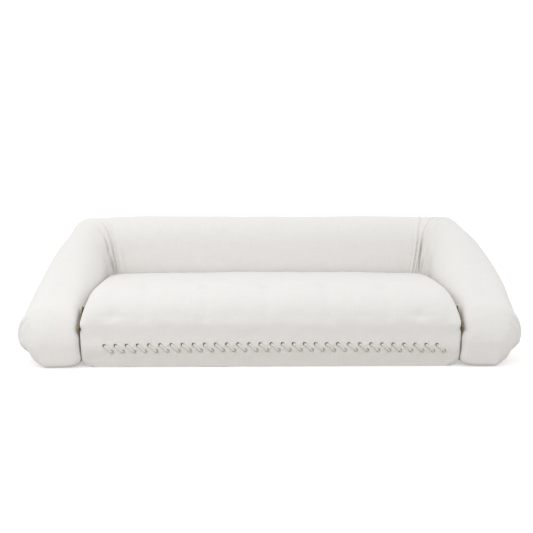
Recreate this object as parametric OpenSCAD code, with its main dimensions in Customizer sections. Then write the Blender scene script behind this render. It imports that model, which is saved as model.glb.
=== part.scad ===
/* [Overall] */
// Width over both arms
sofa_w = 2400; // [2100:20:2700]
// Depth from the arm noses to the back of the roll
sofa_d = 1030; // [980:10:1150]
// Height of the back roll
sofa_h = 650; // [610:10:720]

/* [Rolls] */
// Thickness of the back roll
back_t = 280; // [250:5:310]
// Thickness of each arm roll
arm_t = 302; // [270:1:320]
// Thickness of an arm where it meets the corner
neck_t = 250; // [246:2:280]
// How far an arm closes in from its nose to the corner
toe_in = 26; // [16:2:48]
// Height of the back roll from its widest line to its top
roll_crown_h = 148; // [130:2:165]
// Height of an arm from its widest line to its top, at the nose
arm_crown_h = 180; // [160:2:190]
// Height of the arm's top just behind its nose
arm_front_h = 285; // [275:5:320]
// Length of the rounded nose of an arm
nose_len = 118; // [90:2:150]
// Radius of the roll centreline round a corner
corner_r = 200; // [180:5:240]
// Share by which the roll is drawn in at a corner gather
gather_share = 0.045; // [0:0.005:0.08]
// Thickness of the padded cover on the rolls
cover_t = 12; // [8:1:18]

/* [Seat] */
// Height of the seat's crown
seat_h = 368; // [350:2:390]
// Gap between the seat and each arm
side_gap = 12; // [12:1:20]
// Gap between the seat and the back roll
rear_gap = 8; // [6:1:16]
// How far the arm noses reach past the seat's front
arm_lead = 15; // [15:1:30]
// Depth of the seat's rounded front
nose_depth = 260; // [230:10:290]
// Width over which the seat's sides round off
side_round = 96; // [70:2:110]
// How far the base's front leans back at the floor
front_recess = 12; // [6:2:24]
// Radius of the seat's rear corners in plan
rear_corner_r = 80; // [60:5:95]
// Depth of a tuft
tuft_depth = 17; // [8:1:18]
// Distance between two tufts of a row
tuft_pitch = 285; // [260:5:300]

/* [Fold] */
// Gap between the two halves of the seat
split_gap = 3; // [2:0.5:5]
// Gap under the unfolded half
floor_gap = 4; // [3:0.5:7]
// Angle at which the fold-out half is drawn
fold_angle = 0; // [0:5:180]

/* [Lacing] */
// Least distance from the first eyelet to the seat's side
lace_margin = 90; // [85:5:200]
// Distance between two stitches
lace_pitch = 51.5; // [50:0.5:56]
// Diameter of the rope
rope_d = 11; // [8:0.5:11.5]
// Height of the upper row of eyelets
upper_row_h = 106; // [104:1:112]
// Height of the lower row of eyelets
lower_row_h = 77; // [70:1:78]
// How far each stitch leans to the right
lace_lean = 34; // [30:1:36]
// Bore of an eyelet
eyelet_bore = 15; // [14:0.5:15.5]
// Width of an eyelet's flange
eyelet_flange = 25; // [23:0.5:26]

/* [Frame] */
// Diameter of the base tubes
tube_d = 30; // [25:1:34]
// Diameter of the fold-out half's tubes
fold_tube_d = 25; // [20:1:28]
// Diameter of the tube inside the roll
roll_tube_d = 28; // [22:1:32]
// Distance between two slats
slat_pitch = 106; // [106:1:125]
// Width of a slat
slat_w = 62; // [45:1:62]
// Thickness of a slat
slat_t = 12; // [9:1:14]
// Diameter of a floor glide
glide_d = 50; // [36:2:60]
// Thickness of a hinge leaf
leaf_t = 3; // [2:0.25:3]
// Diameter of the hinge pin
pin_d = 8; // [6:0.5:10]
// Diameter of a hinge bolt
bolt_d = 6; // [5:0.5:8]

/* [Hidden] */
$fn = 32;

// Clearance between pieces that don't move on each other
fit = 0.3;
// Overrun of a cut past its solid
over = 5;
// Height of the covers' undersides above the floor
sole_h = 5;

// Places of the rolls and of the seat
nose_y = -sofa_d / 2;
back_y = sofa_d / 2 - back_t / 2;
arm_x = sofa_w / 2 - arm_t / 2;
arm_rear_x = arm_x - toe_in;
bend_x = arm_rear_x - corner_r;
bend_y = back_y - corner_r;
rail_front_y = nose_y + nose_len;
seat_half_w = sofa_w / 2 - arm_t - side_gap;
seat_rear_y = sofa_d / 2 - back_t - rear_gap;
seat_rear_half_w = arm_rear_x - neck_t / 2 - side_gap;
hinge_y = nose_y + arm_lead;
hinge_z = (seat_h + floor_gap) / 2;
fold_bottom = hinge_z + split_gap / 2;
base_top = hinge_z - split_gap / 2;
// How far the seat's front stands behind the hinge axis
axis_back = 0.4;
front_y = hinge_y + axis_back;

// Shape of a roll: exponents of its rounded quarters, and the power of the arm's climb
roll_power_share = 2.15;
inner_power_share = 5;
inner_crown_share = 3.4;
outer_front_share = 1.8;
blunt_share = 10;
foot_in = 24;
outer_rear_share = 5;
climb_share = 1.1;
climb_end_share = 0.6;
waist_share = 0.06;
waist_drop_share = 0.55;
gather_width_share = 0.17;
section_angles = [0, 18, 36, 54, 72, 90, 108, 126, 144, 162, 180, 196, 214, 238, 270, 302, 326, 344];
core_angles = [0, 30, 60, 90, 120, 150, 180, 205, 235, 270, 305, 335];
nose_angles = [14, 30, 48, 68, 90];
arm_stretch_shares = [0.12, 0.26, 0.42, 0.58, 0.74, 0.88, 1];
back_stretch_shares = [-1, -0.86, -0.6, -0.3, 0, 0.3, 0.6, 0.86, 1];

function clamp01(x) = max(0, min(1, x));
function smooth(x) = let (c = clamp01(x)) c * c * (3 - 2 * c);
function spow(b, e) = sign(b) * pow(abs(b), e);
function mean(ring) = [for (k = [0 : 2]) [for (p = ring) p[k]] * [for (p = ring) 1] / len(ring)];

climb_end_y = bend_y + climb_end_share * corner_r;
// Height of a roll's top and of its widest line where the centreline is at y
function climb(y) = pow(clamp01((y - rail_front_y) / (climb_end_y - rail_front_y)), climb_share);
function top_z(y) = arm_front_h + (sofa_h - arm_front_h) * climb(y);
function along(y) = clamp01((y - rail_front_y) / (bend_y - rail_front_y));
function rise(y) = arm_crown_h + (roll_crown_h - arm_crown_h) * along(y);
function mid_z(y) = top_z(y) - rise(y);
function half_t(y) = let (round_corner = clamp01((y - bend_y) / corner_r))
    (arm_t + (neck_t - arm_t) * along(y) + (back_t - neck_t) * round_corner) / 2;

// One section of a roll, as [outward, up] points, drawn in by inset
function section(y, angles, inset, shrink, low_shrink, gather) = let (
        zc = mid_z(y), a = (half_t(y) - inset) * (1 - gather),
        up = (rise(y) - inset) * shrink * (1 - gather), down = (zc - sole_h - inset) * low_shrink,
        n_out = outer_front_share + (outer_rear_share - outer_front_share) * smooth(climb(y)),
        foot = foot_in * (1 - along(y)), flat = 1 - smooth((y - bend_y) / (climb_end_y - bend_y)),
        n_crown = roll_power_share + (inner_crown_share - roll_power_share) * flat)
    [for (t = angles) let (c = cos(t), s = sin(t),
            n = s >= 0 ? (c < 0 ? n_crown : roll_power_share) : c < 0 ? inner_power_share : n_out,
            z = (s >= 0 ? up : down) * spow(s, 2 / n),
            w = waist_share * smooth(-z / (down * waist_drop_share)) * smooth(2 * climb(y)),
            half = c < 0 ? (a + foot * pow(clamp01(-z / down), 2)) * low_shrink : a * shrink)
        [half * spow(c, 2 / n) * (1 - w), zc + z]];

function placed(ring, px, py, nx, ny) = [for (q = ring) [px + nx * q[0], py + ny * q[0], q[1]]];

// Rings of the right arm: nose, straight stretch, and half of the corner
function nose_ring(t, angles, inset) = let (y = rail_front_y - (nose_len - inset) * cos(t),
        blunt = pow(1 - pow(cos(t), blunt_share), 1 / blunt_share))
    placed(section(rail_front_y, angles, inset, sin(t), blunt, 0), arm_x, y, 1, 0);
function arm_ring(q, angles, inset) = let (y = rail_front_y + (bend_y - rail_front_y) * q)
    placed(section(y, angles, inset, 1, 1, 0), arm_x - toe_in * smooth(q), y, 1, 0);
function bend_ring(side, phi, angles, inset) = let (y = bend_y + corner_r * sin(phi),
        off = (phi - 45) / 45 / gather_width_share, gather = gather_share * exp(-off * off))
    placed(section(y, angles, inset, 1, 1, gather), side * (bend_x + corner_r * cos(phi)), y,
        side * cos(phi), sin(phi));
function arm_rings(angles, inset) = concat(
    [for (t = nose_angles) nose_ring(t, angles, inset)],
    [for (q = arm_stretch_shares) arm_ring(q, angles, inset)],
    [for (phi = [12, 24, 33, 40, 45]) bend_ring(1, phi, angles, inset)]);
function back_rings(angles, inset) = concat(
    [for (phi = [45, 50, 57, 66, 78]) bend_ring(1, phi, angles, inset)],
    [for (q = back_stretch_shares)
        placed(section(back_y, angles, inset, 1, 1, 0), -q * bend_x, back_y, 0, 1)],
    [for (phi = [78, 66, 57, 50, 45]) bend_ring(-1, phi, angles, inset)]);

// Skin over a row of rings, each closed by a fan of triangles at its ends
module skin(rings, first, last) {
    m = len(rings);
    n = len(rings[0]);
    points = concat([for (r = rings) each r], [first, last]);
    sides = [for (i = [0 : m - 2], j = [0 : n - 1])
        let (a = i * n + j, b = i * n + (j + 1) % n)
            each [[a, b, b + n], [a, b + n, a + n]]];
    starts = [for (j = [0 : n - 1]) [m * n, (j + 1) % n, j]];
    ends = [for (j = [0 : n - 1]) [m * n + 1, (m - 1) * n + j, (m - 1) * n + (j + 1) % n]];
    polyhedron(points, concat(sides, starts, ends), convexity = 10);
}

module arm_form(angles, inset) {
    rings = arm_rings(angles, inset);
    tip = [arm_x, nose_y + inset, mid_z(rail_front_y)];
    skin(rings, tip, mean(rings[len(rings) - 1]));
}

module back_form(angles, inset) {
    rings = back_rings(angles, inset);
    skin(rings, mean(rings[0]), mean(rings[len(rings) - 1]));
}

// The hollow of a roll runs on past the gather, so that the roll is open there
module arm_hollow(inset) {
    rings = arm_rings(core_angles, inset);
    beyond = [for (p = rings[len(rings) - 1]) p + [-over, over, 0]];
    tip = [arm_x, nose_y + inset, mid_z(rail_front_y)];
    skin(concat(rings, [beyond]), tip, mean(beyond));
}

module back_hollow(inset) {
    rings = back_rings(core_angles, inset);
    before = [for (p = rings[0]) p + [over, -over, 0]];
    beyond = [for (p = rings[len(rings) - 1]) p + [-over, -over, 0]];
    skin(concat([before], rings, [beyond]), mean(before), mean(beyond));
}

// Steel in the base: rails, links, posts and glides
base_foam_share = 0.417;
base_foam_t = base_foam_share * base_top;
base_wall = 6;
frame_room = 4;
frame_front_in = 40;
frame_side_in = 50;
frame_rear_in = 45;
frame_bend_r = 62;
rail_z = base_top - base_foam_t - tube_d / 2;
frame_half_w = seat_rear_half_w - frame_side_in;
frame_front_y = front_y + frame_front_in + tube_d;
frame_rear_y = seat_rear_y - frame_rear_in;
link_share = [0.3, 0.85];
link_ys = [for (q = link_share) frame_front_y + q * (frame_rear_y - frame_front_y)];
slat_share = 0.9;
slat_half_count = floor(frame_half_w * slat_share / slat_pitch);
slat_xs = [for (i = [0.5 - slat_half_count : slat_half_count - 0.5]) i * slat_pitch];
link_xs = [-slat_half_count + 2, 0, slat_half_count - 2] * slat_pitch;
post_d = 24;
link_d = 25;
post_share = [0.4, 0.64];
arm_post_ys = [for (q = post_share) nose_y + q * sofa_d];
back_post_share = [-0.75, -0.25, 0.25, 0.75];
back_post_xs = back_post_share * bend_x;
glide_t = sole_h - fit;
stem_d = 12;
glide_share = 0.8;
arm_glide_ys = [rail_front_y + stem_d, bend_y - 2 * stem_d];
back_glide_xs = [-0.9 * bend_x, 0, 0.9 * bend_x];
base_glide_xs = [-glide_share, glide_share] * frame_half_w;
base_glide_ys = [frame_front_y, frame_rear_y];

// Hinges at the two ends of the seat's front
leaf_gap = fit;
boss_d = 20;
leaf_end_d = 26;
leaf_eye_d = 24;
base_leaf_x = seat_half_w + leaf_gap;
fold_leaf_x = base_leaf_x + leaf_t + leaf_gap;
washer_x = fold_leaf_x + leaf_t + leaf_gap;
washer_t = 1.6;
washer_d = 15;
head_t = 2;
head_d = 11;
bolt_len = 30;
fold_rail_share = 0.39;
fold_rail_z = fold_bottom + fold_rail_share * (seat_h - fold_bottom);
hinge_reach = 105;
bolt_y = hinge_y + hinge_reach;

// An elbow's ball stands a little proud of its tubes
elbow_share = 1.14;
// Where the arms' steel lies across the width
function rail_x(y) = arm_x - toe_in * along(y);

// A tube between two points, and a run of them with ball joints
module tube(a, b, d) {
    v = b - a;
    translate(a) rotate([0, acos(v[2] / norm(v)), atan2(v[1], v[0])]) cylinder(d = d, h = norm(v));
}
module run(points, d) {
    for (i = [0 : len(points) - 2]) tube(points[i], points[i + 1], d);
    for (i = [1 : len(points) - 2]) translate(points[i]) sphere(d = d * elbow_share);
}
module bend(x, y, z, r, from, d) {
    translate([x, y, z]) rotate([0, 0, from]) rotate_extrude(angle = 90) translate([r, 0]) circle(d = d);
}
module loop(half_w, y0, y1, z, r, d) {
    for (y = [y0, y1]) tube([-half_w + r, y, z], [half_w - r, y, z], d);
    for (s = [-1, 1]) tube([s * half_w, y0 + r, z], [s * half_w, y1 - r, z], d);
    bend(half_w - r, y0 + r, z, r, -90, d);
    bend(half_w - r, y1 - r, z, r, 0, d);
    bend(-half_w + r, y1 - r, z, r, 90, d);
    bend(-half_w + r, y0 + r, z, r, 180, d);
}
module rail_straights(d) {
    for (s = [-1, 1]) tube([s * arm_x, rail_front_y, rail_z], [s * arm_rear_x, bend_y, rail_z], d);
    tube([-bend_x, back_y, rail_z], [bend_x, back_y, rail_z], d);
}
module rail(d) {
    rail_straights(d);
    for (s = [-1, 1]) translate([s * arm_rear_x, bend_y, rail_z]) sphere(d = d * elbow_share);
    bend(bend_x, bend_y, rail_z, corner_r, 0, d);
    bend(-bend_x, bend_y, rail_z, corner_r, 90, d);
}
module links(d) {
    for (s = [-1, 1], y = link_ys) tube([s * frame_half_w, y, rail_z], [s * rail_x(y), y, rail_z], d);
    for (x = link_xs) tube([x, frame_rear_y, rail_z], [x, back_y, rail_z], d);
}

module base_frame() color("dimgray") difference() {
    union() {
        loop(frame_half_w, frame_front_y, frame_rear_y, rail_z, frame_bend_r, tube_d);
        rail(tube_d);
        links(link_d);
        for (x = link_xs) tube([x, frame_front_y, rail_z], [x, frame_rear_y, rail_z], link_d);
        for (s = [-1, 1])
            tube([s * frame_half_w, bolt_y, rail_z], [s * seat_half_w, bolt_y, rail_z], boss_d);
    }
    for (s = [-1, 1])
        tube([s * (base_leaf_x + over), bolt_y, rail_z],
            [s * (seat_half_w - bolt_len), bolt_y, rail_z], bolt_d);
}

// The tube in the roll climbs along the arms and runs level through the back
roll_end_y = rail_front_y + 0.2 * (bend_y - rail_front_y);
function roll_points(s) = concat([for (y = [roll_end_y, bend_y]) [s * rail_x(y), y, mid_z(y)]],
    [for (phi = [30, 60, 90]) let (y = bend_y + corner_r * sin(phi))
        [s * (bend_x + corner_r * cos(phi)), y, mid_z(y)]]);
module roll_straights(d) {
    for (s = [-1, 1]) tube(roll_points(s)[0], roll_points(s)[1], d);
    tube([-bend_x, back_y, mid_z(back_y)], [bend_x, back_y, mid_z(back_y)], d);
}
module roll_tube() color("dimgray")
    run(concat(roll_points(-1), [for (i = [4 : -1 : 0]) roll_points(1)[i]]), roll_tube_d);

function post_top(y) = let (a = mid_z(roll_end_y), b = mid_z(bend_y))
    y >= back_y ? mid_z(back_y) : a + (b - a) * (y - roll_end_y) / (bend_y - roll_end_y);
module posts(d) {
    for (s = [-1, 1], y = arm_post_ys) tube([s * rail_x(y), y, rail_z], [s * rail_x(y), y, post_top(y)], d);
    for (x = back_post_xs) tube([x, back_y, rail_z], [x, back_y, mid_z(back_y)], d);
}
module roll_posts() color("gray") difference() {
    posts(post_d);
    roll_straights(roll_tube_d);
    rail_straights(tube_d);
}

// Floor glides on stems under the rails and under the base frame
glide_places = concat(
    [for (s = [-1, 1], y = arm_glide_ys) [s * rail_x(y), y]], [for (x = back_glide_xs) [x, back_y]],
    [for (x = base_glide_xs, y = base_glide_ys) [x, y]]);
module glide_stems(d) {
    for (p = glide_places) translate([p[0], p[1], 0]) cylinder(d = d, h = rail_z);
}
module floor_glides() color("black") difference() {
    for (p = glide_places) translate([p[0], p[1], 0]) {
        cylinder(d = glide_d, h = glide_t);
        cylinder(d = stem_d, h = rail_z);
    }
    rail_straights(tube_d);
    for (y = base_glide_ys) tube([-frame_half_w, y, rail_z], [frame_half_w, y, rail_z], tube_d);
}

// Slats between a frame's front and rear tubes, with a socket on each end
socket_len = 34;
socket_hold = 20;
socket_wall = 4;
socket_w = slat_w + 2 * socket_wall;
socket_h = slat_t + 2 * socket_wall;
module slats(y0, y1, z) {
    for (x = slat_xs) translate([x - slat_w / 2, y0 + socket_len - socket_hold, z - slat_t / 2])
        cube([slat_w, y1 - y0 - 2 * (socket_len - socket_hold), slat_t]);
}
module sockets(y0, y1, z) difference() {
    for (x = slat_xs, y = [y0, y1 - socket_len])
        translate([x - socket_w / 2, y, z - socket_h / 2]) cube([socket_w, socket_len, socket_h]);
    for (x = slat_xs)
        translate([x - slat_w / 2 - fit, y0 + socket_len - socket_hold - fit, z - slat_t / 2 - fit])
            cube([slat_w + 2 * fit, y1 - y0 - 2 * (socket_len - socket_hold - fit), slat_t + 2 * fit]);
    for (y = [y0, y1])
        tube([-frame_half_w, y, z], [frame_half_w, y, z], 2 * (socket_len - socket_hold - socket_wall));
}
base_slat_in = tube_d / 2 + fit + socket_wall - socket_len + socket_hold;
base_slat_ys = [frame_front_y + base_slat_in, frame_rear_y - base_slat_in];
module base_slats() color("burlywood") slats(base_slat_ys[0], base_slat_ys[1], rail_z);
module base_slat_sockets() color("black") difference() {
    sockets(base_slat_ys[0], base_slat_ys[1], rail_z);
    for (y = base_glide_ys)
        tube([-frame_half_w, y, rail_z], [frame_half_w, y, rail_z], tube_d + 2 * fit);
}

// The base: a padded cover over foam, open below where a cloth closes it
base_corner_r = 12;
base_side_in = 26;
base_edge_in = 5;
corner_steps = 5;
lean_share = 1.3;
base_level_shares = [1, 0.985, 0.94, 0.8, 0.6, 0.4, 0.2, 0.05, 0];
function lean(q) = front_recess * pow(1 - q, lean_share);
function front_at(z) = front_y + lean((z - sole_h) / (base_top - sole_h));
function rounded(w0, w1, y0, y1, r0, r1) = concat(
    [for (i = [0 : corner_steps]) let (t = 180 + 90 * i / corner_steps)
        [-w0 + r0 + r0 * cos(t), y0 + r0 + r0 * sin(t)]],
    [for (i = [0 : corner_steps]) let (t = 270 + 90 * i / corner_steps)
        [w0 - r0 + r0 * cos(t), y0 + r0 + r0 * sin(t)]],
    [for (i = [0 : corner_steps]) let (t = 90 * i / corner_steps)
        [w1 - r1 + r1 * cos(t), y1 - r1 + r1 * sin(t)]],
    [for (i = [0 : corner_steps]) let (t = 90 + 90 * i / corner_steps)
        [-w1 + r1 + r1 * cos(t), y1 - r1 + r1 * sin(t)]]);
function base_ring(q) = let (z = sole_h + (base_top - sole_h) * q,
        edge = base_edge_in * pow(clamp01((q - 0.9) / 0.1), 2), pull = base_side_in * pow(1 - q, 3))
    [for (p = rounded(seat_half_w - edge - pull, seat_rear_half_w - edge - pull, front_y + lean(q) + edge,
            seat_rear_y - edge, base_corner_r, rear_corner_r)) [p[0], p[1], z]];
hollow_half_w = frame_half_w + tube_d / 2 + frame_room;
hollow_front_y = frame_front_y - tube_d / 2 - frame_room;
hollow_rear_y = frame_rear_y + tube_d / 2 + frame_room;
module base_block(inset, z0, z1) {
    translate([0, 0, z0]) linear_extrude(z1 - z0)
        polygon(rounded(hollow_half_w - inset, hollow_half_w - inset, hollow_front_y + inset,
            hollow_rear_y - inset, base_corner_r - frame_room, rear_corner_r - frame_room));
}
base_foam_z = rail_z + tube_d / 2 + fit;
module base_foam() color("khaki") base_block(fit, base_foam_z, base_top - base_wall - fit);
module base_cover() color("ivory") difference() {
    rings = [for (q = base_level_shares) base_ring(q)];
    skin(rings, mean(rings[0]), mean(rings[len(rings) - 1]));
    base_block(0, -over, base_top - base_wall);
    links(link_d + 2 * fit);
    bosses(rail_z, tube_d / 2, boss_d + 2 * fit);
    lacing_groove();
}
cloth_t = 1.5;
module bottom_cloth() color("dimgray") difference() {
    base_block(fit, sole_h, sole_h + cloth_t);
    glide_stems(stem_d + 2 * fit);
}

// Bosses on a frame's sides, which take the hinge bolts
module bosses(z, inside, d) {
    for (s = [-1, 1])
        tube([s * (frame_half_w - inside), bolt_y, z], [s * (seat_half_w + over), bolt_y, z], d);
}
module bolt_holes(z) {
    for (s = [-1, 1])
        tube([s * (seat_half_w - bolt_len), bolt_y, z], [s * sofa_w / 2, bolt_y, z], bolt_d + fit);
}

// The lacing lies on a plane through both rows of eyelets on the base's leaning front
row_low = [0, front_at(lower_row_h), lower_row_h];
row_high = [0, front_at(upper_row_h), upper_row_h];
row_gap = norm(row_high - row_low);
band_tilt = atan2(row_low[1] - row_high[1], row_high[2] - row_low[2]);
lace_count = 2 * floor((seat_half_w - lace_margin) / lace_pitch) + 1;
lace_w = (lace_count - 1) * lace_pitch;
band_t = 2.5;
band_lift = 0.6;
band_clear = 2;
band_h = row_gap - band_clear;
band_end = 21;
band_end_share = 2.4;
eyelet_wall = 1.2;
flange_t = 1.4;
groove_depth = 17;
// In the lacing's own axes x runs right, y up the band and z out of it
module on_band() {
    translate(row_low) rotate([90 + band_tilt, 0, 0]) children();
}
function upper_x(i) = -lace_w / 2 + i * lace_pitch;
function lower_x(i) = upper_x(i) + lace_lean;
module lacing_groove() on_band()
    translate([upper_x(0) - 2 * band_end, -band_h / 2, -groove_depth])
        cube([lace_w + lace_lean + 4 * band_end, row_gap + band_h, groove_depth + band_lift]);
module band(y, first_x) on_band() difference() {
    translate([upper_x(0) - band_end_share * band_end, y - band_h / 2, band_lift])
        cube([lace_w + lace_lean + 2 * band_end_share * band_end, band_h, band_t]);
    for (i = [0 : lace_count - 1]) translate([first_x + i * lace_pitch, y, -over])
        cylinder(d = eyelet_bore + 2 * eyelet_wall + fit, h = groove_depth);
}
module eyelets(y, first_x) on_band() for (i = [0 : lace_count - 1])
    translate([first_x + i * lace_pitch, y, band_lift]) rotate_extrude($fn = 20) {
        translate([eyelet_bore / 2, -flange_t]) square([eyelet_wall, band_t + 2 * flange_t]);
        for (z = [-flange_t, band_t]) translate([eyelet_bore / 2, z])
            square([(eyelet_flange - eyelet_bore) / 2, flange_t]);
    }
module upper_lacing_band() color("ivory") band(row_gap, upper_x(0));
module lower_lacing_band() color("ivory") band(0, lower_x(0));
module upper_eyelets() color("ivory") eyelets(row_gap, upper_x(0));
module lower_eyelets() color("ivory") eyelets(0, lower_x(0));

// The rope spirals: down across the front, through, and back up behind to the next eyelet
lace_sides = 6;
rope_front = band_lift + band_t + flange_t + fit + rope_d / 2;
rope_back = band_lift - flange_t - fit - rope_d / 2;
turn_room = 2.5;
hole_front = band_lift + band_t + flange_t + turn_room;
hole_back = band_lift - flange_t - turn_room;
turn_share = 0.2;
function stitch(i) = let (u = [upper_x(i), row_gap], l = [lower_x(i), 0], v = [upper_x(i + 1), row_gap],
        f = l - u, b = v - l)
    concat([[u[0], u[1], hole_back], [u[0], u[1], hole_front]],
        [for (q = [turn_share, 1 - turn_share]) [u[0] + f[0] * q, u[1] + f[1] * q, rope_front]],
        [[l[0], l[1], hole_front], [l[0], l[1], hole_back]],
        i == lace_count - 1 ? [] :
            [for (q = [turn_share, 1 - turn_share]) [l[0] + b[0] * q, l[1] + b[1] * q, rope_back]]);
knot_d = 15;
knot_len = 18;
lace_start = [[upper_x(0) - band_end, row_gap / 2, rope_back],
    [upper_x(0) - band_end / 2, row_gap * 0.6, rope_back]];
lace_finish = [[lower_x(lace_count - 1) + band_end / 2, row_gap * 0.4, rope_back],
    [lower_x(lace_count - 1) + band_end, row_gap / 2, rope_back]];
lace_route = concat(lace_start, [for (i = [0 : lace_count - 1]) each stitch(i)], lace_finish);
function unit(v) = v / norm(v);
function lace_ring(i) = let (m = len(lace_route), p = lace_route[i],
        t = i == 0 || i == m - 1 ? [1, 0, 0]
            : unit(unit(p - lace_route[i - 1]) + unit(lace_route[i + 1] - p)),
        e1 = unit(cross([0.3, 1, 0.1], t)), e2 = cross(e1, t))
    [for (k = [0 : lace_sides - 1]) let (a = 360 * k / lace_sides)
        p + rope_d / 2 * (cos(a) * e1 + sin(a) * e2)];
module lace() color("white") on_band() {
    rings = [for (i = [0 : len(lace_route) - 1]) lace_ring(i)];
    skin(rings, lace_route[0], lace_route[len(lace_route) - 1]);
}
module lace_knots() color("white") on_band()
    for (x = [lace_start[0][0] - knot_len, lace_finish[1][0]])
        translate([x, row_gap / 2, band_lift - fit - knot_d / 2]) rotate([0, 90, 0])
            rotate_extrude() polygon([[0, 0], [knot_d * 0.36, 0], [knot_d / 2, knot_len * 0.3],
                [knot_d / 2, knot_len * 0.7], [knot_d * 0.36, knot_len], [0, knot_len]]);

// Foam and covers of the rolls: the foam is a thick wall round the steel
wall_t = 38;
module roll_holes() {
    links(link_d + 2 * fit);
    glide_stems(stem_d + 2 * fit);
}
module arm_foam() color("khaki") difference() {
    arm_form(core_angles, cover_t + fit);
    arm_hollow(cover_t + wall_t);
    roll_holes();
}
module arm_cover() color("ivory") difference() {
    arm_form(section_angles, 0);
    arm_hollow(cover_t);
    roll_holes();
}
module left_arm_foam() mirror([1, 0, 0]) arm_foam();
module right_arm_foam() arm_foam();
module left_arm_cover() mirror([1, 0, 0]) arm_cover();
module right_arm_cover() arm_cover();
module back_foam() color("khaki") difference() {
    back_form(core_angles, cover_t + fit);
    back_hollow(cover_t + wall_t);
    roll_holes();
}
module back_cover() color("ivory") difference() {
    back_form(section_angles, 0);
    back_hollow(cover_t);
    roll_holes();
}

// Hinge leaves, each a plate with an eye at the pivot and a bolt at its other end
bar_w = 17;
module plate(end_z, eye_bore) difference() {
    d = [bolt_y, end_z] - [hinge_y, hinge_z];
    union() {
        translate([hinge_y, hinge_z]) circle(d = leaf_eye_d);
        translate([bolt_y, end_z]) circle(d = leaf_end_d);
        translate([hinge_y, hinge_z]) rotate(atan2(d[1], d[0])) translate([0, -bar_w / 2])
            square([norm(d), bar_w]);
    }
    if (eye_bore > 0) translate([hinge_y, hinge_z]) circle(d = eye_bore);
    translate([bolt_y, end_z]) circle(d = bolt_d + 2 * fit);
}
module from_side(x) {
    translate([x, 0, 0]) rotate([90, 0, 90]) children();
}
module base_leaf() color("silver") {
    from_side(base_leaf_x) linear_extrude(leaf_t) plate(rail_z, 0);
    from_side(base_leaf_x) translate([hinge_y, hinge_z, 0])
        cylinder(d = pin_d, h = washer_x + washer_t - base_leaf_x);
}
module fold_leaf() color("silver")
    from_side(fold_leaf_x) linear_extrude(leaf_t) plate(fold_rail_z, pin_d + fit);
module pin_washer() color("gray") from_side(washer_x) translate([hinge_y, hinge_z, 0]) difference() {
    cylinder(d = washer_d, h = washer_t);
    translate([0, 0, -over]) cylinder(d = pin_d + fit / 3, h = 2 * over);
}
module bolt(x, z) color("gray") from_side(x) translate([bolt_y, z, 0]) {
    cylinder(d = head_d, h = head_t);
    translate([0, 0, -bolt_len]) cylinder(d = bolt_d, h = bolt_len);
}
module right_base_leaf() base_leaf();
module left_base_leaf() mirror([1, 0, 0]) base_leaf();
module right_pin_washer() pin_washer();
module left_pin_washer() mirror([1, 0, 0]) pin_washer();
module right_base_bolts() bolt(base_leaf_x + leaf_t, rail_z);
module left_base_bolts() mirror([1, 0, 0]) bolt(base_leaf_x + leaf_t, rail_z);
module right_fold_leaf() fold_leaf();
module left_fold_leaf() mirror([1, 0, 0]) fold_leaf();
module right_fold_bolts() bolt(fold_leaf_x + leaf_t, fold_rail_z);
module left_fold_bolts() mirror([1, 0, 0]) bolt(fold_leaf_x + leaf_t, fold_rail_z);

// The fold-out half's padded cover: a crowned pillow with a rounded front and sewn tufts
rim_h = 130;
rim_share = 0.65;
apex_h = 7;
crown_fall = 12;
rear_fall = 18;
rear_round = 60;
side_power_share = 2.4;
tuft_r = 46;
tuft_rows = [[190, 0], [11, 0.5]];
channel_depth = 4;
channel_r = 26;
bottom_edge = 6;
nose_top_y = front_y + nose_depth;
pillow_nose_angles = [0, 8, 17, 27, 37, 48, 60, 74, 90];
pillow_top_shares = [0.07, 0.17, 0.29, 0.42, 0.55, 0.67, 0.78, 0.87, 0.94, 0.98, 1];
pillow_side_shares = [0.28, 0.52, 0.72, 0.87, 0.96, 1];
tuft_step = tuft_pitch / 6;
inner_steps = floor((seat_rear_half_w - rear_corner_r) / tuft_step);
function half_w_at(y) = let (q = clamp01((y - seat_rear_y + rear_corner_r) / rear_corner_r),
        p = clamp01((front_y + base_corner_r - y) / base_corner_r))
    seat_half_w - (seat_half_w - seat_rear_half_w) * clamp01((y - front_y) / (seat_rear_y - front_y))
        - rear_corner_r * (1 - sqrt(1 - q * q)) - base_corner_r * (1 - sqrt(1 - p * p));
function round_off(t) = pow(1 - pow(clamp01(t), side_power_share), 1 / side_power_share);
pillow_rows = concat(
    [for (t = pillow_nose_angles) [nose_top_y - nose_depth * cos(t), t]],
    [for (q = pillow_top_shares) [nose_top_y + (seat_rear_y - nose_top_y) * q, 90]]);
function pillow_xs(y) = let (inner = inner_steps * tuft_step, w = half_w_at(y))
    concat([for (i = [len(pillow_side_shares) - 1 : -1 : 0]) -inner - (w - inner) * pillow_side_shares[i]],
        [for (k = [-inner_steps : inner_steps]) k * tuft_step],
        [for (q = pillow_side_shares) inner + (w - inner) * q]);
function pillow_z(x, y, t) = let (w = half_w_at(y),
        rim = apex_h + (rim_h - apex_h) * pow(clamp01((y - front_y) / (seat_rear_y - front_y)), rim_share),
        behind = (y - nose_top_y) / (seat_rear_y - nose_top_y), back = clamp01((behind - 0.3) / 0.7),
        top = seat_h - crown_fall * pow(x / w, 2) - rear_fall * back * back)
    fold_bottom + rim + (top - fold_bottom - rim) * sin(t)
        * round_off((abs(x) - w + side_round) / side_round)
        * round_off((y - seat_rear_y + rear_round) / rear_round);
function tuft_z(y) = fold_bottom + (seat_h - fold_bottom) * sin(acos(clamp01((nose_top_y - y) / nose_depth)));
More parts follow.
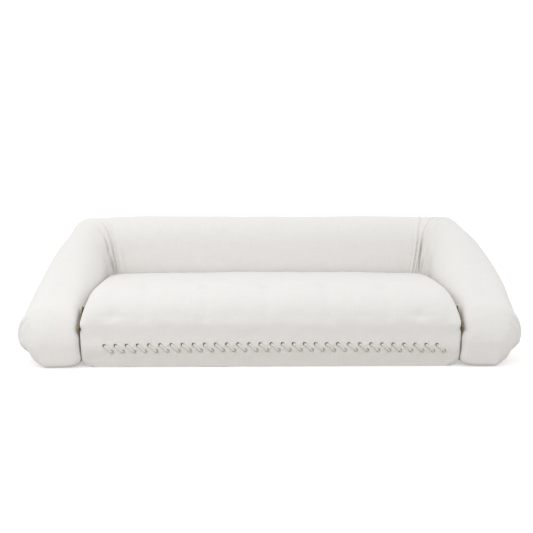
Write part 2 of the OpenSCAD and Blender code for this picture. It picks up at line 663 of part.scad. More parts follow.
function sunk(x, y, z) = let (pulls = [for (r = tuft_rows) let (ty = front_y + r[0], tz = tuft_z(ty),
        off = abs(x / tuft_pitch - r[1] - round(x / tuft_pitch - r[1])) * tuft_pitch,
        d2 = off * off + pow(y - ty, 2) + pow(z - tz, 2))
            abs(x) > (seat_half_w - side_round) ? 0 : tuft_depth * exp(-d2 / tuft_r / tuft_r)],
        off = abs(x / tuft_pitch - round(x / tuft_pitch)) * tuft_pitch,
        in_front = y < front_y + tuft_rows[0][0],
        channel = in_front ? channel_depth * exp(-off * off / channel_r / channel_r) : 0)
    max(channel, pulls[0] + pulls[1]);
function pillow_point(x, y, t) = let (z = pillow_z(x, y, t),
        d = sunk(x, y, z) * smooth((z - fold_bottom) / tuft_r - 0.2))
    [x, y + d * cos(t), z - d * sin(t)];
module pillow() {
    rows = pillow_rows;
    grid = [for (r = rows) [for (x = pillow_xs(r[0])) pillow_point(x, r[0], r[1])]];
    nx = len(grid[0]);
    ny = len(grid);
    edge = concat([for (i = [0 : nx - 1]) i], [for (j = [1 : ny - 1]) j * nx + nx - 1],
        [for (i = [nx - 2 : -1 : 0]) (ny - 1) * nx + i], [for (j = [ny - 2 : -1 : 1]) j * nx]);
    top = [for (r = grid) each r];
    middle = [0, (front_y + seat_rear_y) / 2, fold_bottom];
    n = len(edge);
    upper = [for (k = edge) [top[k][0], top[k][1], fold_bottom + bottom_edge * 0.7]];
    qx = 1 - bottom_edge / seat_half_w;
    qy = 1 - bottom_edge / (middle[1] - front_y);
    lower = [for (k = edge) [top[k][0] * qx, middle[1] + (top[k][1] - middle[1]) * qy, fold_bottom]];
    a = len(top);
    b = a + n;
    faces = concat(
        [for (j = [0 : ny - 2], i = [0 : nx - 2]) let (k = j * nx + i)
            each [[k, k + nx, k + nx + 1], [k, k + nx + 1, k + 1]]],
        [for (k = [0 : n - 1]) let (l = (k + 1) % n)
            each [[edge[k], edge[l], a + l], [edge[k], a + l, a + k],
                [a + k, a + l, b + l], [a + k, b + l, b + k]]],
        [for (k = [0 : n - 1]) [b + n, b + k, b + (k + 1) % n]]);
    polyhedron(concat(top, upper, lower, [middle]), faces, convexity = 10);
}

// The room inside that cover, as a profile drawn from the side
room_front = 32;
room_top = 27;
room_rear = 16;
room_sole = 5;
room_half_w = seat_rear_half_w - 0.75 * side_round;
room_angles = [0, 15, 30, 45, 60, 75, 90];
module fold_room(inset, z0, z1) {
    r = [nose_depth - room_front - inset, seat_h - fold_bottom - room_top - room_sole - 2 * inset];
    sole = fold_bottom + room_sole + inset;
    rear = seat_rear_y - room_rear - inset;
    profile = concat([for (t = room_angles) [nose_top_y - r[0] * cos(t), sole + r[1] * sin(t)]],
        [[rear, sole + r[1] - rear_fall - room_sole], [rear, sole]]);
    from_side(-room_half_w + inset) linear_extrude(2 * (room_half_w - inset)) intersection() {
        polygon(profile);
        translate([-sofa_d, z0]) square([2 * sofa_d, z1 - z0]);
    }
}
fold_half_w = room_half_w - frame_room - fold_tube_d / 2;
fold_front_y = front_y + room_front + frame_room + 1.7 * fold_tube_d;
fold_rear_y = seat_rear_y - room_rear - frame_room - fold_tube_d / 2;
module fold_bosses(d) {
    for (s = [-1, 1])
        tube([s * fold_half_w, bolt_y, fold_rail_z], [s * fold_leaf_x, bolt_y, fold_rail_z], d);
}
module fold_cover() color("ivory") difference() {
    pillow();
    fold_room(0, 0, sofa_h);
    fold_bosses(boss_d + 2 * fit);
}
module seat_foam() color("khaki") fold_room(fit, fold_rail_z + fold_tube_d / 2 + fit, sofa_h);
module sleep_foam() color("khaki") fold_room(fit, 0, fold_rail_z - fold_tube_d / 2 - fit);
module fold_frame() color("dimgray") difference() {
    union() {
        loop(fold_half_w, fold_front_y, fold_rear_y, fold_rail_z, frame_bend_r, fold_tube_d);
        for (x = link_xs) tube([x, fold_front_y, fold_rail_z], [x, fold_rear_y, fold_rail_z], fold_tube_d);
        fold_bosses(boss_d);
    }
    bolt_holes(fold_rail_z);
}
fold_slat_ys = [fold_front_y, fold_rear_y]
    + [1, -1] * (fold_tube_d / 2 + fit + socket_wall - socket_len + socket_hold);
module fold_slats() color("burlywood") slats(fold_slat_ys[0], fold_slat_ys[1], fold_rail_z);
module fold_slat_sockets() color("black") difference() {
    sockets(fold_slat_ys[0], fold_slat_ys[1], fold_rail_z);
    for (y = [fold_front_y, fold_rear_y])
        tube([-fold_half_w, y, fold_rail_z], [fold_half_w, y, fold_rail_z], fold_tube_d + 2 * fit);
}

// The cloth hinge wraps the front of both halves at the fold line
strip_t = 2;
strip_share = 0.55;
strip_reach = strip_share * (hinge_z - upper_row_h);
strip_steps = 4;
strip_angles = [0, 3, 6, 9];
strip_half_w = seat_rear_half_w - side_round;
strip_profile = concat(
    [for (i = [-strip_steps : 0]) let (z = hinge_z + strip_reach * i / strip_steps)
        [front_at(min(z, base_top)), z]],
    [for (t = strip_angles) let (y = nose_top_y - nose_depth * cos(t)) [y, pillow_z(0, y, t)]]);
module hinge_cloth() color("ivory") from_side(-strip_half_w) linear_extrude(2 * strip_half_w) polygon(concat(
    [for (p = strip_profile) p - [fit, 0]],
    [for (i = [len(strip_profile) - 1 : -1 : 0]) strip_profile[i] - [fit + strip_t, 0]]));

// A tab on the rear edge, to lift and turn the upper half
tab_w = 45;
tab_h = 70;
tab_t = 2.5;
module pull_tab() color("ivory")
    translate([-tab_w / 2, seat_rear_y + fit, fold_bottom + bottom_edge]) cube([tab_w, tab_t, tab_h]);

// Everything below turns with the fold-out half
module folded() {
    translate([0, hinge_y, hinge_z]) rotate([fold_angle, 0, 0]) translate([0, -hinge_y, -hinge_z]) children();
}

base_frame();
roll_tube();
roll_posts();
floor_glides();
base_slats();
base_slat_sockets();
base_foam();
base_cover();
bottom_cloth();
upper_lacing_band();
lower_lacing_band();
upper_eyelets();
lower_eyelets();
lace();
lace_knots();
back_foam();
back_cover();
left_arm_foam();
left_arm_cover();
right_arm_foam();
right_arm_cover();
left_base_leaf();
right_base_leaf();
left_base_bolts();
right_base_bolts();
left_pin_washer();
right_pin_washer();
hinge_cloth();
folded() fold_cover();
folded() seat_foam();
folded() sleep_foam();
folded() fold_frame();
folded() fold_slats();
folded() fold_slat_sockets();
folded() left_fold_leaf();
folded() right_fold_leaf();
folded() left_fold_bolts();
folded() right_fold_bolts();
folded() pull_tab();
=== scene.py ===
import math
import bmesh
import bpy
import numpy as np
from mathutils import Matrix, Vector, noise


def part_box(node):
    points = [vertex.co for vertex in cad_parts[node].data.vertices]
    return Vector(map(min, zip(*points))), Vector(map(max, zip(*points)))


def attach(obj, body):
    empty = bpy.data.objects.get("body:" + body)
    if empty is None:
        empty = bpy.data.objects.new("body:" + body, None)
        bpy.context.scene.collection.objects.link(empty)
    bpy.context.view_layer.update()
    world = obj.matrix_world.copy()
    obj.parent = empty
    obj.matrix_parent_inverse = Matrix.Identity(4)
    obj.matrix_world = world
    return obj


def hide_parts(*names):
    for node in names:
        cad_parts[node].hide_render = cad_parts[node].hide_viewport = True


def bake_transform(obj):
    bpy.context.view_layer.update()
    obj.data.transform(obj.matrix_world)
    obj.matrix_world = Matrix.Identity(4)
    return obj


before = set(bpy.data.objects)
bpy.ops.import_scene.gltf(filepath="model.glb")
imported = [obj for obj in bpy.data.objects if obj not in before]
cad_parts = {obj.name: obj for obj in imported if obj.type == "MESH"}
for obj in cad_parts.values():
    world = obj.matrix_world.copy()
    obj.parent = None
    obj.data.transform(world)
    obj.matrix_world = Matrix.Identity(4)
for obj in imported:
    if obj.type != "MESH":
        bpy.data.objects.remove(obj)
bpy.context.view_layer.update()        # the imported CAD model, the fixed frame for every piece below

scene = bpy.context.scene
scene.view_settings.view_transform = "Standard"   # white cloth on white paper keeps its own tones


# camera, light and floor
studio = {
    "place": (-0.081, -4.082, 0.917), "yaw": 0.943, "tilt": 7.065, "lens": 53.17, "clipEnd": 200,
    "keyPlace": (-2.6, -2.1, 2.6), "keyAim": (0.0, 0.0, 0.3), "keySize": 2.4, "keyPower": 20,
    "skyStrength": 1.01, "seenStrength": 1.02, "sky": (0.99, 0.995, 1.0, 1.0),
    "paper": "CFCECD", "paperGlow": 0.50, "floor": "CECBC7", "paperWidth": 60.0,
}


def linear(hexColour):
    # sRGB hex to the linear colour that the shaders take
    channels = [int(hexColour[i:i + 2], 16) / 255 for i in (0, 2, 4)]
    return tuple(c / 12.92 if c <= 0.04045 else ((c + 0.055) / 1.055) ** 2.4 for c in channels) + (1.0,)


def addNode(tree, kind, settings={}, links={}):
    # settings are the node's own properties or its sockets' values
    node = tree.nodes.new("ShaderNode" + kind)
    for name, value in settings.items():
        if isinstance(name, str) and hasattr(node, name):
            setattr(node, name, value)
        else:
            node.inputs[name].default_value = value
    for name, source in links.items():
        tree.links.new(source, node.inputs[name])
    return node


def newMaterial(name):
    material = bpy.data.materials.new(name)
    material.use_nodes = True
    material.node_tree.nodes.clear()
    return material, material.node_tree


def finishMaterial(tree, settings, links):
    skin = addNode(tree, "BsdfPrincipled", settings, links)
    addNode(tree, "OutputMaterial", {}, {"Surface": skin.outputs["BSDF"]})


def mixTones(tree, low, high, amount):
    # low and high are sRGB hex, or a socket that already has the colour
    settings, links = {"data_type": "RGBA"}, {0: amount}
    for slot, tone in ((6, low), (7, high)):
        if isinstance(tone, str):
            settings[slot] = linear(tone)
        else:
            links[slot] = tone
    return addNode(tree, "Mix", settings, links).outputs[2]


def makeStudio():
    lens = bpy.data.cameras.new("photoCamera")
    lens.lens = studio["lens"]
    lens.sensor_width = 36
    lens.sensor_fit = "HORIZONTAL"
    lens.clip_end = studio["clipEnd"]
    camera = bpy.data.objects.new("photoCamera", lens)
    camera.location = studio["place"]
    camera.rotation_euler = (math.radians(90 - studio["tilt"]), 0, math.radians(-studio["yaw"]))
    scene.collection.objects.link(camera)
    scene.camera = camera

    # a soft box near the sofa, up on the left of the front
    lamp = bpy.data.lights.new("softBox", "AREA")
    lamp.size = studio["keySize"]
    lamp.energy = studio["keyPower"]
    key = bpy.data.objects.new("softBox", lamp)
    key.location = studio["keyPlace"]
    aim = Vector(studio["keyAim"]) - Vector(studio["keyPlace"])
    key.rotation_euler = aim.to_track_quat("-Z", "Y").to_euler()
    scene.collection.objects.link(key)

    world = bpy.data.worlds.new("whiteStudio")
    world.use_nodes = True
    # the camera sees the surroundings white, whatever light they give
    seen = addNode(world.node_tree, "LightPath").outputs["Is Camera Ray"]
    strength = addNode(world.node_tree, "MapRange", {
        "To Min": studio["skyStrength"], "To Max": studio["seenStrength"]}, {"Value": seen})
    background = world.node_tree.nodes["Background"]
    background.inputs["Color"].default_value = studio["sky"]
    world.node_tree.links.new(strength.outputs["Result"], background.inputs["Strength"])
    scene.world = world

    # Seamless studio paper: matt, so it only takes soft contact shadows. The camera sees it white,
    # and it hands light back to the sofa like the greyer floor of the studio in the photo.
    material, tree = newMaterial("studioPaper")
    seen = addNode(tree, "LightPath").outputs["Is Camera Ray"]
    tone = mixTones(tree, studio["floor"], studio["paper"], seen)
    glow = addNode(tree, "Math", {"operation": "MULTIPLY", 1: studio["paperGlow"]}, {0: seen})
    grain = addNode(tree, "TexNoise", {"Scale": 40.0, "Detail": 2.0})
    bump = addNode(tree, "Bump", {"Strength": 0.05, "Distance": 0.001}, {"Height": grain.outputs["Fac"]})
    finishMaterial(
        tree,
        {"Roughness": 0.95, "Specular IOR Level": 0.1, "Emission Color": linear("FFFFFF")},
        {"Base Color": tone, "Emission Strength": glow.outputs["Value"], "Normal": bump.outputs["Normal"]},
    )
    half = studio["paperWidth"] / 2
    mesh = bpy.data.meshes.new("paper")
    corners = [(-half, -half, 0), (half, -half, 0), (half, half, 0), (-half, half, 0)]
    mesh.from_pydata(corners, [], [(0, 1, 2, 3)])
    mesh.materials.append(material)
    paper = bpy.data.objects.new("paper", mesh)
    scene.collection.objects.link(paper)


makeStudio()
print("studio ready")


canvas = {
    "light": "E8E6E3", "shade": "E4E2DF", "slub": "EBE9E6",
    "drawnThreadMm": 3.0,   # the real warp threads are 1.1 mm apart, too fine to show
    "slubMm": 5.0, "slubLengthMm": 90.0, "creaseMm": 55.0, "cockleMm": 16.0, "washedScale": 2.2,
    "weaveDepthMm": 0.06, "slubDepthMm": 0.05, "creaseDepthMm": 2.6, "cockleDepthMm": 0.5,
}


def makeCanvas(name, creaseShare):
    # Cotton and linen canvas, plain woven and washed: a matt off-white with slubs in both directions,
    # soft creases from washing and a faint nap that lifts the edges.
    material, tree = newMaterial(name)
    cloth = addNode(tree, "TexCoord").outputs
    runs, bands = [], []
    for direction, size in (("X", (canvas["slubLengthMm"], canvas["slubMm"])),
                            ("Y", (canvas["slubMm"], canvas["slubLengthMm"]))):
        scale = (1000 / size[0], 1000 / size[1], 1)
        stretched = addNode(tree, "Mapping", {"Scale": scale}, {"Vector": cloth["UV"]})
        runs.append(addNode(tree, "TexNoise", {"Scale": 1.0, "Detail": 2.0, "Roughness": 0.6},
                            {"Vector": stretched.outputs["Vector"]}).outputs["Fac"])
        bands.append(addNode(tree, "TexWave", {
            "wave_type": "BANDS", "bands_direction": direction, "Scale": 1000 / canvas["drawnThreadMm"] / 2,
            "Distortion": 0.6, "Detail": 1.0}, {"Vector": cloth["UV"]}).outputs["Fac"])
    slub = addNode(tree, "Math", {"operation": "MULTIPLY"}, {0: runs[0], 1: runs[1]}).outputs["Value"]
    weave = addNode(tree, "Math", {"operation": "MAXIMUM"}, {0: bands[0], 1: bands[1]}).outputs["Value"]
    slubShade = addNode(tree, "MapRange", {"From Min": 0.12, "From Max": 0.42}, {"Value": slub})
    clouds = []
    for scale, detail, roughness, distortion in (
            (canvas["washedScale"], 3.0, 0.55, 0.0),
            (1000 / canvas["creaseMm"] / 2.2, 2.0, 0.4, 1.2),
            (1000 / canvas["cockleMm"] / 2.0, 2.0, 0.5, 0.0)):
        clouds.append(addNode(tree, "TexNoise", {
            "Scale": scale, "Detail": detail, "Roughness": roughness, "Distortion": distortion,
        }, {"Vector": cloth["Object"]}).outputs["Fac"])
    washed, crease, cockle = clouds
    tone = mixTones(tree, canvas["shade"], canvas["light"], washed)
    thread = mixTones(tree, tone, canvas["slub"], slubShade.outputs["Result"])
    below = {}
    for height, depthMm in (
            (crease, canvas["creaseDepthMm"] * creaseShare), (cockle, canvas["cockleDepthMm"]),
            (slub, canvas["slubDepthMm"]), (weave, canvas["weaveDepthMm"])):
        bump = addNode(tree, "Bump", {"Strength": 1.0, "Distance": depthMm / 1000}, {"Height": height, **below})
        below = {"Normal": bump.outputs["Normal"]}
    finishMaterial(tree, {
        "Roughness": 0.93, "IOR": 1.5, "Specular IOR Level": 0.25,
        "Sheen Weight": 0.12, "Sheen Roughness": 0.6, "Sheen Tint": linear("FFFFFF"),
    }, {"Base Color": thread, **below})
    return material


def makeRope(name):
    # Three-strand cotton cord, spun and laid: white, matt and fibrous, with fine yarns along each strand
    material, tree = newMaterial(name)
    cloth = addNode(tree, "TexCoord").outputs
    yarn = addNode(tree, "TexWave", {
        "wave_type": "BANDS", "bands_direction": "DIAGONAL", "Scale": 320.0,
        "Distortion": 1.5, "Detail": 2.0}, {"Vector": cloth["UV"]})
    fuzz = addNode(tree, "TexNoise", {"Scale": 500.0, "Detail": 3.0}, {"Vector": cloth["Object"]})
    tone = mixTones(tree, "DFDCD6", "F2F0EC", fuzz.outputs["Fac"])
    bump = addNode(tree, "Bump", {"Strength": 0.8, "Distance": 0.0004}, {"Height": yarn.outputs["Fac"]})
    finishMaterial(
        tree,
        {"Roughness": 0.9, "Specular IOR Level": 0.25, "Sheen Weight": 0.2, "Sheen Roughness": 0.5},
        {"Base Color": tone, "Normal": bump.outputs["Normal"]},
    )
    return material


def makeHard(name, light, dark, scale, depth, settings, stretch=(1, 1, 1)):
    # two close tones and a grain of its own size and depth in metres, drawn out by stretch
    material, tree = newMaterial(name)
    place = addNode(tree, "TexCoord").outputs["Object"]
    stretched = addNode(tree, "Mapping", {"Scale": stretch}, {"Vector": place}).outputs["Vector"]
    grain = addNode(tree, "TexNoise", {"Scale": scale, "Detail": 4.0, "Roughness": 0.6},
                    {"Vector": stretched}).outputs["Fac"]
    tone = mixTones(tree, dark, light, grain)
    bump = addNode(tree, "Bump", {"Strength": 0.5, "Distance": depth}, {"Height": grain})
    finishMaterial(tree, settings, {"Base Color": tone, "Normal": bump.outputs["Normal"]})
    return material


coverCanvas = makeCanvas("washedCanvas", 1.0)
frontCanvas = makeCanvas("stretchedCanvas", 0.6)
cottonRope = makeRope("laidCottonCord")
# stove enamel on pressed brass: off-white, smooth and softly glossy
eyeletEnamel = makeHard("eyeletEnamel", "E6E3DD", "D8D4CC", 220.0, 0.00005,
                        {"Roughness": 0.32, "IOR": 1.5, "Coat Weight": 0.4})
# powder coat on steel tube: a fine orange peel, satin and near black
powderCoat = makeHard("powderCoatedSteel", "2E2E31", "242427", 900.0, 0.00008,
                      {"Roughness": 0.45, "IOR": 1.5})
# zinc-plated steel, passivated yellow and gone dull: a grey straw brown with a faint mottle
yellowZinc = makeHard("yellowPassivatedZinc", "A5967A", "85775C", 160.0, 0.00004,
                      {"Metallic": 1.0, "Roughness": 0.42})
# steamed beech, planed and lacquered: long pale flecks along the slat
beech = makeHard("lacqueredBeech", "D9B48A", "BE9468", 60.0, 0.0001,
                 {"Roughness": 0.42, "IOR": 1.5, "Coat Weight": 0.2}, (8, 1, 8))
# moulded polypropylene: even black with a fine spark-eroded grain
polypropylene = makeHard("mouldedPolypropylene", "1E1E1F", "151516", 1200.0, 0.00006,
                         {"Roughness": 0.55, "IOR": 1.49})
# moulded rubber: dull black
rubber = makeHard("mouldedRubber", "1B1B1B", "111111", 700.0, 0.0001, {"Roughness": 0.85, "IOR": 1.52})
# spun-bonded dust cloth: thin dark felted fibres
dustCloth = makeHard("spunBondedCloth", "2B2A29", "1C1B1B", 420.0, 0.0003,
                     {"Roughness": 0.95, "Specular IOR Level": 0.2})
# woven polyester webbing for the tab: an even off-white with ribs along the band
webbing = makeHard("tabWebbing", "E1DED7", "CFCBC2", 500.0, 0.0002,
                   {"Roughness": 0.85, "Specular IOR Level": 0.25}, (1, 1, 6))
print("finishes ready")


def clamp01(x):
    return np.clip(x, 0.0, 1.0)


def share(x, low, high):
    return clamp01((x - low) / (high - low))


def smooth(x):
    x = clamp01(x)
    return x * x * (3 - 2 * x)


def bell(x, width):
    return np.exp(-(x / width) ** 2)


def signedPower(base, power):
    return np.sign(base) * np.abs(base) ** power


def swell(points, size, seed):
    # gentle cloud-like unevenness of about that size in metres, from -1 to 1
    shift = Vector((seed * 1.73, seed * 0.51, seed * 0.97))
    flat = points.reshape(-1, 3)
    return np.array([noise.noise(Vector(p) / size + shift) for p in flat]).reshape(points.shape[:-1])


def counted(grid):
    # the number of each point of a lattice
    return np.arange(grid[..., 0].size).reshape(grid.shape[:-1])


def addPart(parts, grid):
    # one more lattice or line of points to a mesh of several, and the numbers that they get
    start = sum(len(part) for part in parts)
    parts.append(grid.reshape(-1, 3))
    return start + counted(grid)


def woven(numbers, cloth):
    # quads over a lattice of point numbers, with the cloth's own metres at their corners
    def corners(a):
        return np.stack([a[:-1, :-1], a[1:, :-1], a[1:, 1:], a[:-1, 1:]], 2)
    return corners(numbers).reshape(-1, 4), corners(cloth).reshape(-1, 4, 2)


def ringed(numbers):
    # the same lattice with its first column once more at the end, so that it closes on itself
    return np.concatenate([numbers, numbers[:, :1]], 1)


def plane(u, v):
    # cloth metres over a lattice, from those along its rows and those along its columns
    return np.stack(np.broadcast_arrays(u[:, None], v[None, :]), 2)


def addMesh(name, points, patches, material, closed=True):
    faces = [face for patch in patches for face in patch[0].tolist()]
    mesh = bpy.data.meshes.new(name)
    mesh.from_pydata(np.asarray(points).reshape(-1, 3).tolist(), [], faces)
    cloth = np.concatenate([np.asarray(patch[1], float).reshape(-1) for patch in patches])
    mesh.uv_layers.new(name="cloth").data.foreach_set("uv", cloth)
    mesh.materials.append(material)
    form = bmesh.new()
    form.from_mesh(mesh)
    loose = [v for v in form.verts if not v.link_faces]
    bmesh.ops.delete(form, geom=loose, context="VERTS")
    if closed:
        bmesh.ops.recalc_face_normals(form, faces=form.faces)
    for face in form.faces:
        face.smooth = True
    form.to_mesh(mesh)
    form.free()
    piece = bpy.data.objects.new(name, mesh)
    scene.collection.objects.link(piece)
    return piece


def latticeNormals(points, wrap):
    # outward direction at each point of a lattice whose columns may close on themselves
    along = np.gradient(points, axis=0)
    if wrap:
        across = np.roll(points, -1, 1) - np.roll(points, 1, 1)
    else:
        across = np.gradient(points, axis=1)
    normal = np.cross(along, across)
    length = np.linalg.norm(normal, axis=2, keepdims=True)
    return normal / np.maximum(length, 1e-12)


def distances(points):
    steps = np.linalg.norm(np.diff(points, axis=0), axis=1)
    return np.concatenate([[0], np.cumsum(steps)])


# the padded roll: arm, corner, back, corner, arm in one cover
roll = {
    "nose": -0.515, "noseLength": 0.118, "bendStart": 0.175, "back": 0.375,
    "armX": 1.049, "armRearX": 1.023, "cornerRadius": 0.200,
    "armThickness": 0.302, "neckThickness": 0.250, "backThickness": 0.280,
    "armFrontTop": 0.285, "top": 0.650, "armCrown": 0.180, "backCrown": 0.148, "sole": 0.002,
    "noseFall": 0.15, "noseSquare": 12.0, "noseBlunt": 1.8, "footIn": 0.024, "waist": 0.06,
    "outerPower": 1.48, "outerRise": 3.52, "innerPower": 5.0, "crownPower": 2.15,
    "crownFlat": 1.25, "crownFrontRise": 1.6, "crownRearFall": 1.35,
    "around": 96, "swellDepth": 0.0040, "swellSize": 0.24, "rippleDepth": 0.0014, "rippleSize": 0.07,
    "gather": 0.004, "lap": 0.006, "overLap": 0.008, "floor": 0.001,
}
roll["railFront"] = roll["nose"] + roll["noseLength"]
roll["climbEnd"] = roll["bendStart"] + 0.6 * roll["cornerRadius"]
roll["bendX"] = roll["armRearX"] - roll["cornerRadius"]

# the fold low on the outside of an arm, and the lobe of cloth behind it
armFold = {
    "y": -0.415, "lean": 0.35, "middleZ": 0.13, "depth": 0.010, "width": 0.009,
    "lobe": 0.014, "lobeReach": 0.06, "rise": 0.004, "riseAt": 0.045, "riseWidth": 0.035,
}

# The two arms, 1 the right and -1 the left one, aren't filled alike: each is fuller half way up
# and slacker at the shoulder
armFilling = {
    1: {"fuller": 0.036, "fullerZ": 0.39, "slack": 0.024, "slackZ": 0.63},
    -1: {"fuller": 0.004, "fullerZ": 0.33, "slack": 0.034, "slackZ": 0.56},
}

# Pleats at each corner: width and depth in metres, the way down as (height, degrees round the
# corner), where a height above the roll's top lies as far down its outer side, and the end's height
pleats = {
    1: [
        (0.0044, 0.017, [(0.72, 70), (0.636, 76), (0.544, 85), (0.46, 93), (0.358, 103)], 0.72),
        (0.0040, 0.015, [(0.72, 55), (0.604, 56), (0.544, 66), (0.46, 73), (0.358, 77)], 0.71),
        (0.0040, 0.009, [(0.74, 42), (0.66, 46), (0.60, 52), (0.50, 69), (0.358, 88)], 0.70),
        (0.0050, 0.009, [(0.70, 30), (0.632, 35), (0.616, 40), (0.57, 44), (0.50, 50)], 0.68),
        (0.0050, 0.006, [(0.58, 12), (0.50, 30), (0.42, 52), (0.358, 64)], 0.50),
        (0.0060, 0.004, [(0.70, 84), (0.60, 96), (0.46, 108), (0.358, 116)], 0.62),
    ],
    -1: [
        (0.0046, 0.020, [(0.70, 20), (0.65, 21), (0.57, 24), (0.459, 37), (0.409, 54), (0.358, 64)], 0.62),
        (0.0038, 0.016, [(0.70, 42), (0.627, 44), (0.575, 48), (0.443, 65), (0.392, 74), (0.358, 78)], 0.63),
        (0.0040, 0.006, [(0.72, 58), (0.627, 61), (0.544, 67), (0.443, 79), (0.358, 88)], 0.68),
        (0.0065, 0.004, [(0.70, 84), (0.605, 88), (0.477, 104), (0.358, 112)], 0.62),
        (0.0045, 0.005, [(0.60, 10), (0.53, 12), (0.42, 34), (0.358, 50)], 0.50),
    ],
}


def rollSection(y, shrink, lowShrink):
    # one section as outward and upward metres in even steps from the sole, with each step's angle
    climb = share(y, roll["railFront"], roll["climbEnd"]) ** 1.1
    along = share(y, roll["railFront"], roll["bendStart"])
    inCorner = clamp01((y - roll["bendStart"]) / roll["cornerRadius"])
    topZ = roll["armFrontTop"] + (roll["top"] - roll["armFrontTop"]) * climb
    crown = roll["armCrown"] + (roll["backCrown"] - roll["armCrown"]) * along
    middleZ = topZ - crown
    crown -= roll["noseFall"] * max(0, roll["railFront"] - y)
    thick = roll["armThickness"] + (roll["neckThickness"] - roll["armThickness"]) * along
    thick += (roll["backThickness"] - roll["neckThickness"]) * inCorner
    half = thick / 2
    up = crown * shrink
    down = (middleZ - roll["sole"]) * lowShrink
    angle = np.linspace(-90, 270, 1441)
    c, s = np.cos(np.radians(angle)), np.sin(np.radians(angle))
    outerPower = roll["outerPower"] + roll["outerRise"] * smooth(climb)
    # the arms' inner faces are flat up to a soft ridge, which runs out in the corners
    flat = 1 - smooth(share(y, roll["bendStart"], roll["climbEnd"]))
    flatter = roll["crownFlat"] + roll["crownFrontRise"] * smooth(1 - along / 0.2)
    flatter -= roll["crownRearFall"] * smooth(along / 0.7)
    crownPower = np.where(c < 0, roll["crownPower"] + flatter * flat, roll["crownPower"])
    power = np.where(s >= 0, crownPower, np.where(c < 0, roll["innerPower"], outerPower))
    z = np.where(s >= 0, up, down) * signedPower(s, 2 / power)
    waist = roll["waist"] * smooth(-z / max(down * 0.55, 1e-6)) * smooth(2 * climb)
    # towards the floor the inner side leans to the seat
    foot = roll["footIn"] * (1 - along) * clamp01(-z / max(down, 1e-6)) ** 2
    reach = np.where(c < 0, (half + foot) * lowShrink, half * shrink)
    out = reach * signedPower(c, 2 / power) * (1 - waist)
    length = distances(np.stack([out, z], 1))
    even = np.linspace(0, length[-1], roll["around"] + 1)[:-1]
    out, z, angle = (np.interp(even, length, values) for values in (out, z, angle))
    return out, middleZ + z, angle, length[-1]


def rollStations():
    # where each section stands: x, y, outward direction, the y that shapes it, its two shrinks,
    # the angle round the corner and the side
    half = []
    for t in np.radians(np.linspace(3, 90, 36)[:-1]):
        y = roll["railFront"] - roll["noseLength"] * math.cos(t)
        square, blunt = ((1 - math.cos(t) ** n) ** (1 / n) for n in (roll["noseSquare"], roll["noseBlunt"]))
        half.append((roll["armX"], y, 1, 0, y, blunt, square, -1))
    for q in np.linspace(0, 1, 40)[:-1]:
        x = roll["armX"] - (roll["armX"] - roll["armRearX"]) * float(smooth(q))
        y = roll["railFront"] + (roll["bendStart"] - roll["railFront"]) * q
        half.append((x, y, 1, 0, y, 1, 1, 0))
    for phi in np.linspace(0, 90, 97)[:-1]:
        right, rear = math.cos(math.radians(phi)), math.sin(math.radians(phi))
        x, y = roll["bendX"] + roll["cornerRadius"] * right, roll["bendStart"] + roll["cornerRadius"] * rear
        half.append((x, y, right, rear, y, 1, 1, phi))
    for q in np.concatenate([np.linspace(1, 0.88, 26)[:-1], np.linspace(0.88, 0, 46)]):
        half.append((roll["bendX"] * q, roll["back"], 0, 1, roll["back"], 1, 1, 90))
    whole = [station + (1,) for station in half]
    return whole + [(-x, y, -nx, *rest, -1) for x, y, nx, *rest in half[-2::-1]]


def pleatDepth(side, turn, height, reach):
    # how far the pleats of one corner draw the cloth in, with a soft ridge beside each
    depth = np.zeros_like(height)
    low = smooth((0.60 - height) / 0.20)
    start = smooth((height - 0.33) / 0.04)
    for width, deep, way, end in pleats[side]:
        heights, degrees = zip(*way[::-1])
        off = np.radians(turn - np.interp(height, heights, degrees)) * reach
        spread = width * (1 + 0.5 * smooth((height - 0.50) / 0.15))
        fade = smooth((end + 0.05 - height) / 0.10) * start * (0.5 + 0.5 * low)
        if heights[0] > 0.4:
            fade *= smooth((height - heights[0]) / 0.06)
        crease = 0.6 * bell(off, spread) + 0.4 * np.exp(-np.abs(off) / (0.6 * spread))
        ridges = bell(off - 2.2 * spread, 1.3 * spread) + bell(off + 2.2 * spread, 1.3 * spread)
        depth += deep * fade * (crease - 0.30 * ridges)
    gather = bell(turn - 55, 26) * smooth((0.72 - height) / 0.08) * smooth((height - 0.33) / 0.05)
    return depth + roll["gather"] * gather


